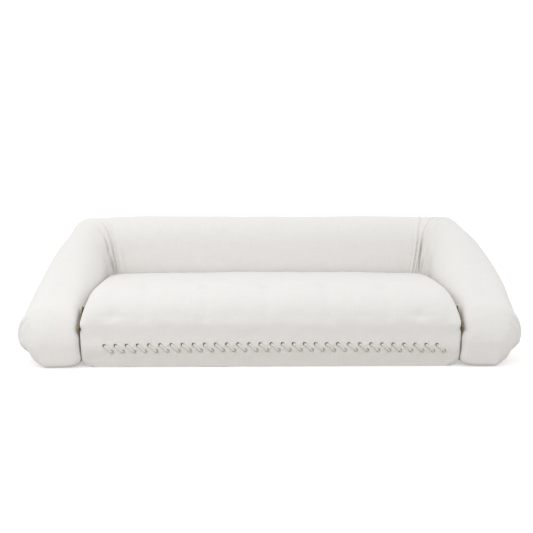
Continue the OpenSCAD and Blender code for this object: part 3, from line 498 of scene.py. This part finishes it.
def makeRoll():
    stations = rollStations()
    rings, angles, lengths = [], [], []
    for x, y, nx, ny, sectionY, wide, low, phi, side in stations:
        out, up, angle, length = rollSection(sectionY, wide, low)
        rings.append(np.stack([x + nx * out, y + ny * out, up], 1))
        angles.append(angle)
        lengths.append(length)
    points = np.array(rings)
    angles = np.array(angles)
    normal = latticeNormals(points, True)
    centre = points.mean(1, keepdims=True)
    normal *= np.sign(np.sum(normal * (points - centre), axis=2).mean())
    depth = np.zeros(points.shape[:2])
    for i, (x, y, nx, ny, sectionY, wide, low, phi, side) in enumerate(stations):
        if 0 < phi < 90 or (phi in (0, 90) and abs(x) > 0.55):
            ring = points[i]
            height = np.where(angles[i] < 90, 2 * ring[:, 2].max() - ring[:, 2], ring[:, 2])
            reach = np.hypot(ring[:, 0] - side * roll["bendX"], ring[:, 1] - roll["bendStart"])
            bend = np.arctan2(ring[:, 1] - roll["bendStart"], side * ring[:, 0] - roll["bendX"])
            turn = phi if 0 < phi < 90 else np.degrees(bend)
            inward = smooth((angles[i] + 40) / 40) * smooth((262 - angles[i]) / 20)
            depth[i] -= inward * pleatDepth(side, turn, height, np.maximum(reach, 0.03))
    # the padding's own unevenness: broad swells and some finer ripples
    calm = smooth((points[..., 2] - 0.01) / 0.06) * np.array([station[6] for station in stations])[:, None]
    depth += calm * roll["swellDepth"] * swell(points, roll["swellSize"], 3)
    depth += calm * roll["rippleDepth"] * swell(points, roll["rippleSize"], 8)
    # the cover is gathered low on the outside of each arm: a fold runs down there, and behind it
    # the cloth bellies out past the front
    z = points[..., 2]
    outer = np.abs(points[..., 0]) - roll["armX"]
    past = points[..., 1] - armFold["y"] + armFold["lean"] * (z - armFold["middleZ"])
    low = smooth((outer - 0.05) / 0.06) * smooth((0.26 - z) / 0.07) * smooth((z - 0.01) / 0.04)
    depth -= low * (armFold["depth"] * bell(past, armFold["width"])
                    + armFold["lobe"] * smooth((0.01 - past) / armFold["lobeReach"])
                    - armFold["rise"] * bell(past - armFold["riseAt"], armFold["riseWidth"]))
    points = points + normal * depth[..., None]
    # the inner faces lie on the seat's rounded sides, and at the floor on the base
    x, y, z = points[..., 0], points[..., 1], points[..., 2]
    inside = smooth((roll["armX"] - np.abs(x)) / 0.10) * smooth((0.26 - y) / 0.10)
    behind = smooth((y + 0.36) / 0.10)
    lap = smooth((z - 0.10) / 0.12) * smooth((0.56 - z) / 0.20)
    over = smooth((z - 0.25) / 0.07) * smooth((0.52 - z) / 0.18)
    foot = smooth((0.165 - z) / 0.03) * smooth((y + 0.510) / 0.02)
    pull = behind * (roll["lap"] * lap + roll["overLap"] * over) + roll["lap"] * foot
    x -= np.sign(x) * inside * pull
    for side, fill in armFilling.items():
        outside = smooth((side * x - roll["armRearX"]) / 0.10)
        x += side * outside * (fill["fuller"] * bell(z - fill["fullerZ"], 0.12)
                               - fill["slack"] * bell(z - fill["slackZ"], 0.07))
    points[..., 2] = np.maximum(z, roll["floor"])
    rows, around = points.shape[:2]
    numbers = ringed(counted(points))
    run = distances(points[:, around * 5 // 8])
    turnTo = np.linspace(0, 1, around + 1)[None, :] * np.array(lengths)[:, None]
    cloth = np.stack([np.repeat(run[:, None], around + 1, 1), turnTo], 2)
    # the fronts of the arms carry the weave flat across, the rest has it along the arm
    ends = int(np.searchsorted([station[5] for station in stations[:34]], 0.7))
    flat = np.concatenate([points, points[:, :1]], 1)[..., [0, 2]]
    patches = [woven(numbers[part], metres[part]) for part, metres in (
        (slice(ends + 1), flat), (slice(ends, rows - ends), cloth), (slice(rows - ends - 1, None), flat))]
    tips = []
    for row, side in ((0, 1), (rows - 1, -1)):
        tip = [side * roll["armX"], roll["nose"], points[row, :, 2].mean()]
        fan = np.stack([numbers[row, :-1], numbers[row, 1:], np.full(around, rows * around + len(tips))], 1)
        across = np.stack([flat[row, :-1], flat[row, 1:], np.repeat([[tip[0], tip[2]]], around, 0)], 1)
        patches.append((fan, across))
        tips.append(tip)
    piece = addMesh("rollCover", np.concatenate([points.reshape(-1, 3), tips]), patches, coverCanvas)
    rounder = piece.modifiers.new("rounder", "SUBSURF")
    rounder.levels = rounder.render_levels = 1
    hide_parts("back_cover", "back_foam", "left_arm_cover", "left_arm_foam",
                "right_arm_cover", "right_arm_foam")
    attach(piece, "base")
    return piece


rollCover = makeRoll()
print("roll done:", len(rollCover.data.polygons), "faces")


# the seat's upper half, which folds out
seat = {
    "front": -0.4996, "rear": 0.227, "halfWidth": 0.886, "rearCorner": 0.080, "frontCorner": 0.012,
    "bottom": 0.1875, "top": 0.368, "noseDepth": 0.260, "sideRound": 0.096, "rearRound": 0.042,
    "apex": 0.007, "rim": 0.130, "crownFall": 0.012, "rearFall": 0.011,
    "tuftPitch": 0.285, "tuftShift": -0.018, "tuftDepth": 0.020, "tuftRadius": 0.040, "tuftCore": 0.014,
    "tuftRows": ((0.190, 0.0), (0.011, 0.5)),   # metres behind the front, and the shift in pitches
    "foldDepth": 0.0012, "folds": 6, "channelDepth": 0.005, "channelRadius": 0.022,
    "swellDepth": 0.0034, "swellSize": 0.20, "rippleDepth": 0.0010, "rippleSize": 0.06,
    "underBulge": 0.003, "underIn": 0.009,
}
seat["noseTop"] = seat["front"] + seat["noseDepth"]
seat["depth"] = seat["rear"] - seat["front"]


def roundOff(t):
    return (1 - clamp01(t) ** 2.4) ** (1 / 2.4)


def seatHalfWidth(y):
    width = seat["halfWidth"]
    for corner, past in (("rearCorner", y - seat["rear"]), ("frontCorner", seat["front"] - y)):
        q = clamp01((past + seat[corner]) / seat[corner])
        width = width - seat[corner] * (1 - np.sqrt(1 - q * q))
    return width


def nearestTuft(x, shift):
    off = (x - seat["tuftShift"]) / seat["tuftPitch"] - shift
    return (off - np.round(off)) * seat["tuftPitch"]


def seatPoint(x, y, t):
    # a point of the crowned top, drawn in by the tufts and the channels below them
    w = seatHalfWidth(y)
    rise = share(y, seat["front"], seat["rear"]) ** 0.65
    rim = seat["bottom"] + seat["apex"] + (seat["rim"] - seat["apex"]) * rise
    behind = clamp01((share(y, seat["noseTop"], seat["rear"]) - 0.3) / 0.7)
    top = seat["top"] - seat["crownFall"] * (x / w) ** 2 - seat["rearFall"] * behind ** 2
    z = rim + (top - rim) * np.sin(t) * roundOff((np.abs(x) - w + seat["sideRound"]) / seat["sideRound"]) \
        * roundOff((y - seat["rear"] + seat["rearRound"]) / seat["rearRound"])
    sunk = np.zeros(np.broadcast(x, y).shape)
    for fromFront, shift in seat["tuftRows"]:
        ty = seat["front"] + fromFront
        turn = math.acos(min(1, (seat["noseTop"] - ty) / seat["noseDepth"]))
        tz = seat["bottom"] + (seat["top"] - seat["bottom"]) * math.sin(turn)
        off = nearestTuft(x, shift)
        far = np.sqrt(off ** 2 + (y - ty) ** 2 + (z - tz) ** 2)
        inside = smooth((seat["halfWidth"] - seat["sideRound"] - np.abs(x)) / 0.04 + 1)
        # the lower row is slack in the middle of the seat
        weight = 1.0 if shift == 0 else 0.22 + 0.4 * smooth((np.abs(x) - 0.5) / 0.1)
        pull = 0.78 * bell(far, seat["tuftRadius"]) + 0.22 * np.exp(-far / seat["tuftCore"])
        folds = np.cos(seat["folds"] * np.arctan2(z - tz + y - ty, off)) * bell(far - 0.045, 0.030)
        sunk += inside * weight * (seat["tuftDepth"] * pull + seat["foldDepth"] * folds)
    below = seat["front"] + seat["tuftRows"][0][0] - y
    sunk += seat["channelDepth"] * bell(nearestTuft(x, 0.0), seat["channelRadius"]) * smooth(below / 0.05)
    sunk *= smooth((z - seat["bottom"]) / 0.046 - 0.2)
    return np.stack([x + 0 * sunk, y + sunk * np.cos(t), z - sunk * np.sin(t)], -1)


def boundary(numbers):
    # the edge of a lattice, once round
    return np.concatenate([numbers[0, :-1], numbers[:-1, -1], numbers[-1, :0:-1], numbers[:0:-1, 0]])


def walls(loops, points):
    # patches between closed loops of point numbers, with metres along and down them
    loops = [np.append(loop, loop[0]) for loop in loops]
    down = [np.linalg.norm(points[b] - points[a], axis=1).mean() for a, b in zip(loops, loops[1:])]
    cloth = plane(distances(points[loops[0]]), np.append(0, np.cumsum(down)))
    return woven(np.array(loops), cloth.swapaxes(0, 1))


def unevenSeat(points):
    return seat["swellDepth"] * swell(points, seat["swellSize"], 5) \
        + seat["rippleDepth"] * swell(points, seat["rippleSize"], 2)


def makeSeat():
    turns = np.radians(np.linspace(0, 90, 36))
    rows = [(seat["noseTop"] - seat["noseDepth"] * math.cos(t), t) for t in turns]
    rows += [(seat["noseTop"] + (seat["rear"] - seat["noseTop"]) * q, math.pi / 2)
             for q in np.sin(np.linspace(0, math.pi / 2, 45)[1:]) ** 1.2]
    # the lattice is finer towards the sides
    side = 0.88 + 0.12 * np.sin(np.linspace(0, math.pi / 2, 13)[1:])
    across = np.concatenate([-side[::-1], np.linspace(-0.88, 0.88, 142), side])
    top = np.array([seatPoint(across * seatHalfWidth(y), np.full(across.shape, y), t) for y, t in rows])
    normal = latticeNormals(top, False)
    normal *= np.sign(normal[..., 2].mean())
    inner = smooth((1 - np.abs(across)) / 0.05)[None, :] * smooth((seat["rear"] - top[..., 1]) / 0.03)
    lift = smooth((top[..., 2] - seat["bottom"]) / 0.06)
    top += normal * (inner * lift * unevenSeat(top))[..., None]
    parts = []
    topNumbers = addPart(parts, top)
    down = np.repeat(distances(top[:, len(across) // 2])[:, None], len(across), 1)
    edge = boundary(topNumbers)
    rim = parts[0][edge]
    middleY = (seat["front"] + seat["rear"]) / 2
    away = rim[:, :2] - [0, middleY]
    away /= np.linalg.norm(away, axis=1, keepdims=True)
    tall = smooth((rim[:, 2] - seat["bottom"]) / 0.05)
    loops = [edge]
    # the sides between top and underside bulge a little, and turn in at the bottom
    for q, inset in ((0.25, -0.6), (0.5, -1.0), (0.75, -0.8), (0.93, 0.0), (1.0, 1.6)):
        ring = rim.copy()
        ring[:, 2] += (seat["bottom"] - rim[:, 2]) * q
        amount = inset * seat["underBulge"] * np.where(q < 0.9, tall, 1)
        ring[:, :2] -= away * amount[:, None]
        loops.append(addPart(parts, ring))
    under = top.copy()
    under[..., 0] *= 1 - seat["underIn"] / seat["halfWidth"]
    rowY = np.array([y for y, t in rows])[:, None]
    under[..., 1] = middleY + (rowY - middleY) * (1 - 2 * seat["underIn"] / seat["depth"])
    under[..., 2] = seat["bottom"]
    underNumbers = addPart(parts, under)
    loops.append(boundary(underNumbers))
    points = np.concatenate(parts)
    patches = [woven(topNumbers, np.stack([top[..., 0], down], 2)), walls(loops, points),
               woven(underNumbers, under[..., :2])]
    piece = addMesh("seatCushion", points, patches, coverCanvas)
    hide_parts("fold_cover", "seat_foam", "sleep_foam")
    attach(piece, "fold_out")
    return piece


seatCushion = makeSeat()
print("seat done:", len(seatCushion.data.polygons), "faces")


# the seat's lower half, which stays on the floor
base = {
    "front": -0.4996, "rear": 0.227, "halfWidth": 0.886, "frontCorner": 0.012, "rearCorner": 0.080,
    "sole": 0.005, "top": 0.1845, "recess": 0.012, "sideIn": 0.006, "footRound": 0.045, "edgeIn": 0.005,
    "grooveLow": 0.060, "grooveHigh": 0.124, "grooveHalfWidth": 0.858, "grooveDepth": 0.017,
    "hem": 0.0015, "hollow": 0.0012, "under": 0.0065, "underMiddle": -0.13,
}


def heightShare(z):
    return share(z, base["sole"], base["top"])


def sidePull(z):
    # how far the base's sides and the sheet's ends draw in near the floor, in round corners
    r = base["footRound"]
    turned = (r * clamp01(1 - z / r)) ** 2 * 0.97
    return base["sideIn"] * (1 - heightShare(z)) ** 3 + r - np.sqrt(r * r - turned)


def basePlan(z, across):
    # a lattice at one height, in rows from front to rear with round corners
    edge = base["edgeIn"] * clamp01((heightShare(z) - 0.9) / 0.1) ** 2
    y0 = base["front"] + base["recess"] * (1 - heightShare(z)) ** 1.3 + edge
    y1 = base["rear"] - edge
    w = base["halfWidth"] - (sidePull(z) + edge)
    r0, r1 = base["frontCorner"], base["rearCorner"]
    turn = np.radians(np.linspace(0, 90, 9))
    rows = [(y0 + r0 - r0 * math.cos(a), w - r0 + r0 * math.sin(a)) for a in turn]
    rows += [(y0 + r0 + (y1 - r1 - y0 - r0) * q, w) for q in np.linspace(0, 1, 38)[1:-1]]
    rows += [(y1 - r1 + r1 * math.sin(a), w - r1 + r1 * math.cos(a)) for a in turn]
    y, half = np.array(rows).T[..., None]
    return np.stack([half * across, y + 0 * across, 0 * y * across + z], 2)


def makeBase():
    heights = np.concatenate([[0, 0.004, 0.010, 0.020, 0.032, 0.044, 0.054], np.arange(0.058, 0.129, 0.0025),
                              [0.134, 0.142, 0.152, 0.162, 0.170, 0.176, 0.180, 0.1825, 0.184, 0.1845]])
    across = np.linspace(-1, 1, 176)
    loops, parts = [], []
    for z in heights:
        grid = basePlan(z, across)
        ring = grid.reshape(-1, 3)[boundary(counted(grid))]
        # behind the lacing the front has a groove for the cord
        front = smooth((base["front"] + 0.060 - ring[:, 1]) / 0.01)
        inRows = smooth((z - base["grooveLow"]) / 0.006) * smooth((base["grooveHigh"] - z) / 0.006)
        inside = smooth((base["grooveHalfWidth"] - np.abs(ring[:, 0])) / 0.006)
        ring[:, 1] += front * inRows * inside * base["grooveDepth"]
        if z < 0.02:
            ring[:, 2] += base["hem"] * (1.2 + swell(ring * [1, 1, 0], 0.11, 4))
        loops.append(addPart(parts, ring))
    top = basePlan(base["top"], across)
    inner = smooth((1 - np.abs(across)) / 0.06)[None, :] * smooth((top[..., 1] - base["front"]) / 0.05)
    inner = inner * smooth((base["rear"] - top[..., 1]) / 0.05)
    top[..., 2] -= base["hollow"] * inner * (1 + swell(top, 0.12, 6))
    # the top lattice shares the last wall loop as its edge
    topNumbers = counted(top)
    place = np.full(topNumbers.size, -1)
    place[boundary(topNumbers)] = loops[-1]
    free = np.flatnonzero(place < 0)
    place[free] = addPart(parts, top.reshape(-1, 3)[free])
    sole = basePlan(0, across)
    sole[..., 0] *= 0.985
    sole[..., 1] = base["underMiddle"] + (sole[..., 1] - base["underMiddle"]) * 0.98
    sole[..., 2] = base["under"]
    soleNumbers = addPart(parts, sole)
    points = np.concatenate(parts)
    patches = [walls([boundary(soleNumbers)] + loops, points), woven(place[topNumbers], top[..., :2]),
               woven(soleNumbers, sole[..., :2])]
    piece = addMesh("baseCushion", points, patches, coverCanvas)
    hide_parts("base_cover", "base_foam")
    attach(piece, "base")
    return piece


baseCushion = makeBase()
print("base done:", len(baseCushion.data.polygons), "faces")


# the front's laced cloth, one sheet over both halves and the fold line
lacing = {
    "count": 31, "pitch": 0.0515, "lean": 0.034, "upperZ": 0.1060, "lowerZ": 0.0770, "arch": 0.007,
    "archWidth": 0.80, "bore": 0.0150, "flange": 0.0250, "barrel": 0.0060,
    "rope": 0.0110, "lay": 0.034, "behind": 0.0095, "step": 0.0034,
    "knotRope": 0.0084, "knotLay": 0.020, "knotTurns": 1.9, "knotRadius": 0.0030, "knotLength": 0.012,
}
lacing["firstX"] = -(lacing["count"] - 1) * lacing["pitch"] / 2
sheetCut = {
    "halfWidth": 0.880, "sideFade": 0.008, "top": 0.262, "topFade": 0.070, "bottom": 0.0010,
    "proud": 0.0020, "sunk": 0.0008, "belly": 0.008, "bellyZ": 0.090, "bellyWidth": 0.045,
    "ropePull": 0.0016, "pucker": 0.0007, "hole": 0.0096, "ripple": 0.0016, "hem": 0.0012,
}


def frontProfile():
    # the bare front's y over x and z: the base below, the seat's nose above
    xs = np.linspace(-sheetCut["halfWidth"], sheetCut["halfWidth"], 321)
    zs = np.linspace(-0.002, 0.275, 280)
    ts = np.radians(np.linspace(0, 70, 90))
    ys = seat["noseTop"] - seat["noseDepth"] * np.cos(ts)
    mix = smooth((zs - 0.176) / 0.024)
    recess = base["recess"] * (1 - heightShare(zs)) ** 1.3
    half = base["halfWidth"] - sidePull(zs)
    r = base["frontCorner"]
    table = np.zeros((len(zs), len(xs)))
    for j, x in enumerate(xs):
        nose = seatPoint(np.full(ts.shape, x), ys, ts)
        turned = np.minimum(clamp01((abs(x) - half + r) / r), 0.999)
        low = base["front"] + recess + r * (1 - np.sqrt(1 - turned ** 2))
        table[:, j] = low * (1 - mix) + np.interp(zs, nose[:, 2], nose[:, 1]) * mix
    return xs, zs, table


frontTable = frontProfile()


def frontY(x, z):
    xs, zs, table = frontTable
    i = np.clip((z - zs[0]) / (zs[1] - zs[0]), 0, len(zs) - 1.001)
    j = np.clip((x - xs[0]) / (xs[1] - xs[0]), 0, len(xs) - 1.001)
    a, b = np.floor(i).astype(int), np.floor(j).astype(int)
    p, q = i - a, j - b
    return (table[a, b] * (1 - p) * (1 - q) + table[a + 1, b] * p * (1 - q)
            + table[a, b + 1] * (1 - p) * q + table[a + 1, b + 1] * p * q)


def rowZ(x, height):
    # the rows rise a little in the middle, where the cloth is pulled up most
    return height + lacing["arch"] * (1 - (x / lacing["archWidth"]) ** 2) - 0.001


# each row of eyelets as first x and height, and each eyelet's place as x and z
eyeletRows = ((lacing["firstX"], lacing["upperZ"]), (lacing["firstX"] + lacing["lean"], lacing["lowerZ"]))
eyeletX = np.arange(lacing["count"]) * lacing["pitch"]
upperPlaces, lowerPlaces = (
    [(float(x), float(rowZ(x, height))) for x in first + eyeletX] for first, height in eyeletRows)


def sheetY(x, z):
    # the sheet's own y: proud of the front, sunk into it at its edges, dimpled round the eyelets
    side = smooth((sheetCut["halfWidth"] - np.abs(x)) / sheetCut["sideFade"])
    high = smooth((sheetCut["top"] - z) / sheetCut["topFade"])
    proud = -sheetCut["sunk"] + (sheetCut["proud"] + sheetCut["sunk"]) * side * high
    belly = sheetCut["belly"] * bell(z - sheetCut["bellyZ"], sheetCut["bellyWidth"]) * side
    y = frontY(x, z) - proud - belly
    for first, height in eyeletRows:
        nearest = np.clip(np.round((x - first) / lacing["pitch"]), 0, lacing["count"] - 1)
        cx = first + nearest * lacing["pitch"]
        cz = rowZ(cx, height)
        far = np.hypot(x - cx, z - cz)
        folds = np.cos(5 * np.arctan2(z - cz, x - cx) + cx * 40)
        y = y + sheetCut["ropePull"] * bell(far, 0.020)
        y = y + sheetCut["pucker"] * folds * bell(far - 0.021, 0.009)
    return y


def makeFrontSheet():
    step = lacing["pitch"] / 14
    reach = int(sheetCut["halfWidth"] / step)
    xs = np.arange(-reach, reach + 1) * step
    zs = np.concatenate([np.linspace(sheetCut["bottom"], 0.056, 9)[:-1], np.arange(0.056, 0.136, 0.0036),
                         np.linspace(0.139, sheetCut["top"], 30)])
    x, z = np.meshgrid(xs, zs)
    y = sheetY(x, z)
    # above the fold line the sheet takes the seat's own unevenness
    bare = np.stack([x, frontY(x, z), z], 2)
    y -= 1.1 * smooth((z - seat["bottom"]) / 0.06) * unevenSeat(bare)
    ripple = swell(np.stack([x, x * 0, z], 2), 0.05, 9) * smooth((sheetCut["top"] - 0.03 - z) / 0.03)
    y -= sheetCut["ripple"] * ripple
    hem = 1 + swell(np.stack([x, x * 0, x * 0], 2), 0.13, 4)
    z = z + np.where(z < 0.02, 1, 0) * sheetCut["hem"] * hem
    ends = smooth((np.abs(x) - 0.80) / (sheetCut["halfWidth"] - 0.80))
    points = np.stack([x - np.sign(x) * ends * sidePull(z), y, z], 2)
    faces, cloth = woven(counted(points), np.stack([x, z], 2))
    middle = points.reshape(-1, 3)[faces].mean(1)
    keep = np.ones(len(faces), bool)
    for cx, cz in upperPlaces + lowerPlaces:
        keep &= np.hypot(middle[:, 0] - cx, middle[:, 2] - cz) > sheetCut["hole"]
    # turned so that the outside looks to the front
    patch = (faces[keep][:, ::-1], cloth[keep][:, ::-1])
    piece = addMesh("frontSheet", points, [patch], frontCanvas, closed=False)
    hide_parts("hinge_cloth", "upper_lacing_band", "lower_lacing_band")
    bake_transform(piece)
    width, height = float(xs[-1] - xs[0]), float(distances(points[:, len(xs) // 2])[-1])
    print("front sheet cut:", round(width, 3), "by", round(height, 3), "m")


def frontFrame(x, z):
    # a place on the sheet with its right, up and outward directions
    step = 0.006
    here, above, below = (float(sheetY(np.array(x), np.array(at))) for at in (z, z + step, z - step))
    up = np.array([0, above - below, 2 * step])
    up /= np.linalg.norm(up)
    right = np.array([1.0, 0.0, 0.0])
    return np.array([x, here, z]), right, up, np.cross(right, up)


def addTube(parts, patches, grid, u, v, endless=False):
    # one more tube to a mesh of several: its rings, and its cloth metres along and round it
    numbers = addPart(parts, grid)
    if endless:
        numbers = np.append(numbers, numbers[:1], 0)
    patches.append(woven(ringed(numbers), plane(u, v)))


def makeEyelets(name, places, node):
    # a pressed ring with a rolled flange and a short barrel through the cloth
    bore, flange, barrel = lacing["bore"] / 2, lacing["flange"] / 2, lacing["barrel"]
    profile = np.array([
        (bore, -barrel), (bore, 0.0006), (bore + 0.0008, 0.0018), (bore + 0.0024, 0.0025),
        (flange - 0.0012, 0.0019), (flange, 0.0006), (flange - 0.0002, -0.0006), (bore + 0.0011, -0.0006),
        (bore + 0.0011, -barrel)])
    parts, patches = [], []
    for x, z in places:
        centre, right, up, out = frontFrame(x, z)
        grid = np.array([centre + profile[:, :1] * (right * math.cos(a) + up * math.sin(a))
                         + out * (profile[:, 1:] + 0.0004) for a in np.radians(np.arange(0, 360, 18))])
        addTube(parts, patches, grid, np.linspace(0, 0.06, 21), np.linspace(0, 0.02, 10), endless=True)
    piece = addMesh(name, np.concatenate(parts), patches, eyeletEnamel)
    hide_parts(node)
    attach(piece, "base")


def smoothPath(knots, spacing):
    # a rounded line through the knots, in even steps
    knots = np.array(knots)
    fine = []
    for i in range(len(knots) - 1):
        before, a, b, after = knots[[max(i - 1, 0), i, i + 1, min(i + 2, len(knots) - 1)]]
        for s in np.linspace(0, 1, 12, endpoint=False):
            fine.append(0.5 * (2 * a + (b - before) * s + (2 * before - 5 * a + 4 * b - after) * s * s
                               + (3 * a - before - 3 * b + after) * s ** 3))
    fine = np.array(fine + [knots[-1]])
    length = distances(fine)
    even = np.linspace(0, length[-1], max(2, int(length[-1] / spacing)))
    return np.stack([np.interp(even, length, fine[:, k]) for k in range(3)], 1), even


def strands(path, run, radius, sides, lay):
    # three strands laid round a path, each a closed tube
    tangent = np.gradient(path, axis=0)
    tangent /= np.linalg.norm(tangent, axis=1, keepdims=True)
    side = np.zeros_like(path)
    side[0] = np.cross(tangent[0], [0.3, 0.2, 1.0])
    for i in range(len(path)):
        if i:
            side[i] = side[i - 1]
        side[i] -= tangent[i] * side[i].dot(tangent[i])
        side[i] /= np.linalg.norm(side[i])
    third = np.cross(tangent, side)
    ring = np.arange(sides)[None, :, None] * 2 * math.pi / sides
    round3 = np.cos(ring) * side[:, None, :] + np.sin(ring) * third[:, None, :]
    for k in range(3):
        turn = (run / lay + k / 3)[:, None] * 2 * math.pi
        middle = path + radius * 0.44 * (np.cos(turn) * side + np.sin(turn) * third)
        yield middle[:, None, :] + radius * 0.60 * round3


def makeLace():
    # cord route: out of each upper eyelet, across to the lower one, in, and back up behind the cloth
    r, behind = lacing["rope"] / 2, lacing["behind"]
    tails = []
    for x, upper, lower in ((upperPlaces[0][0] - 0.021, upperPlaces[0], lowerPlaces[0]),
                            (lowerPlaces[-1][0] + 0.021, upperPlaces[-1], lowerPlaces[-1])):
        centre, *_, out = frontFrame(x, (upper[1] + lower[1]) / 2)
        tails.append(centre - out * (behind + 0.001))
    route = tails[:1]
    for upper, lower in zip(upperPlaces, lowerPlaces):
        a, *_, outA = frontFrame(*upper)
        b, *_, outB = frontFrame(*lower)
        way = (b - a) / np.linalg.norm(b - a)
        middle = (a + b) / 2
        a, b = a + way * 0.0026, b + way * 0.0014
        route += [a - outA * behind, a - outA * 0.0016, a + way * 0.0048 + outA * (r + 0.0010),
                  middle + outA * (r + 0.0026),
                  b - way * 0.0050 + outB * (r + 0.0016), b - outB * 0.0010, b - outB * behind]
    path, run = smoothPath(route + tails[1:], lacing["step"])
    print("lacing cord:", round(float(run[-1]), 2), "m")
    parts, patches = [], []
    for tube in strands(path, run, r, 7, lacing["lay"]):
        addTube(parts, patches, tube, run, np.linspace(0, 0.02, 8))
    turn = np.linspace(0, 2 * math.pi * lacing["knotTurns"], 40)
    for place in (path[0], path[-1]):
        # the stopper knot behind the cloth: a cord turned round itself
        x = place[0] - 0.002 - lacing["knotLength"] * turn / turn[-1]
        loop = np.stack([x, place[1] + 0.0015 + lacing["knotRadius"] * np.cos(turn),
                         place[2] + lacing["knotRadius"] * np.sin(turn)], 1)
        for tube in strands(loop, distances(loop), lacing["knotRope"] / 2, 6, lacing["knotLay"]):
            addTube(parts, patches, tube, np.linspace(0, 0.08, 40), np.linspace(0, 0.02, 7))
    piece = addMesh("lacingCord", np.concatenate(parts), patches, cottonRope)
    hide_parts("lace", "lace_knots")
    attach(piece, "base")


makeFrontSheet()
makeEyelets("upperEyelets", upperPlaces, "upper_eyelets")
makeEyelets("lowerEyelets", lowerPlaces, "lower_eyelets")
makeLace()
print("front and lacing done")


dust = {"gap": 0.0006, "sag": 0.0014, "edge": 0.10, "swellSize": 0.12}


def makeDustCloth():
    # a thin cloth stapled tight under the base, sagging a little inside its edge
    low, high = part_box("bottom_cloth")
    x, y = np.meshgrid(np.linspace(low[0], high[0], 90), np.linspace(low[1], high[1], 40))
    edge = np.minimum(high[0] - np.abs(x), np.minimum(y - low[1], high[1] - y))
    uneven = 1 + 0.4 * swell(np.stack([x, y, x * 0], 2), dust["swellSize"], 7)
    z = low[2] - dust["gap"] - dust["sag"] * smooth(edge / dust["edge"]) * uneven
    points = np.stack([x, y, z], 2)
    piece = addMesh("dustCloth", points, [woven(counted(points), points[..., :2])], dustCloth, closed=False)
    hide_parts("bottom_cloth")
    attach(piece, "base")


tab = {"fullness": 0.9, "rib": 0.10, "ribs": 3, "stitchDepth": 0.35, "stitchWidth": 0.05, "stitchTop": 0.45}


def makeTab():
    # a doubled webbing loop with a stitched cross, on the fold-out half's rear edge
    low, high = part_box("pull_tab")
    x, z = np.meshgrid(np.linspace(low[0], high[0], 19), np.linspace(low[2], high[2], 29))
    across = (x - (low[0] + high[0]) / 2) / (high[0] - low[0]) * 2
    up = (z - low[2]) / (high[2] - low[2])
    cross = np.minimum(np.abs(up * 2.2 - 0.15), np.abs(across - (up * 2.2 - 0.55) * 2))
    stitch = np.minimum(np.abs(np.abs(across) - 0.8), cross)
    pressed = 1 - tab["stitchDepth"] * bell(stitch, tab["stitchWidth"]) * (up < tab["stitchTop"])
    rib = 1 + tab["rib"] * np.cos(across * math.pi * 2 * tab["ribs"])
    thick = (high[1] - low[1]) / 2 * pressed * np.sqrt(clamp01(1 - across ** 8)) * rib * tab["fullness"]
    middle = (low[1] + high[1]) / 2
    parts, cloth = [], np.stack([x, z], 2)
    front, rear = (addPart(parts, np.stack([x, middle + way * thick, z], 2)) for way in (-1, 1))
    points = np.concatenate(parts)
    patches = [woven(front, cloth), woven(rear, cloth), walls([boundary(front), boundary(rear)], points)]
    piece = addMesh("pullTab", points, patches, webbing)
    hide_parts("pull_tab")
    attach(piece, "fold_out")


makeDustCloth()
makeTab()
print("dust cloth and tab done")

hardFinish = {
    powderCoat: ["base_frame", "roll_tube", "roll_posts", "fold_frame"],
    rubber: ["floor_glides"],
    beech: ["base_slats", "fold_slats"],
    polypropylene: ["base_slat_sockets", "fold_slat_sockets"],
    yellowZinc: [side + part for side in ("left_", "right_")
                 for part in ("base_leaf", "base_bolts", "pin_washer", "fold_leaf", "fold_bolts")],
}
for finish, nodes in hardFinish.items():
    for node in nodes:
        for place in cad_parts[node].material_slots:
            place.material = finish
print("hardware finished")
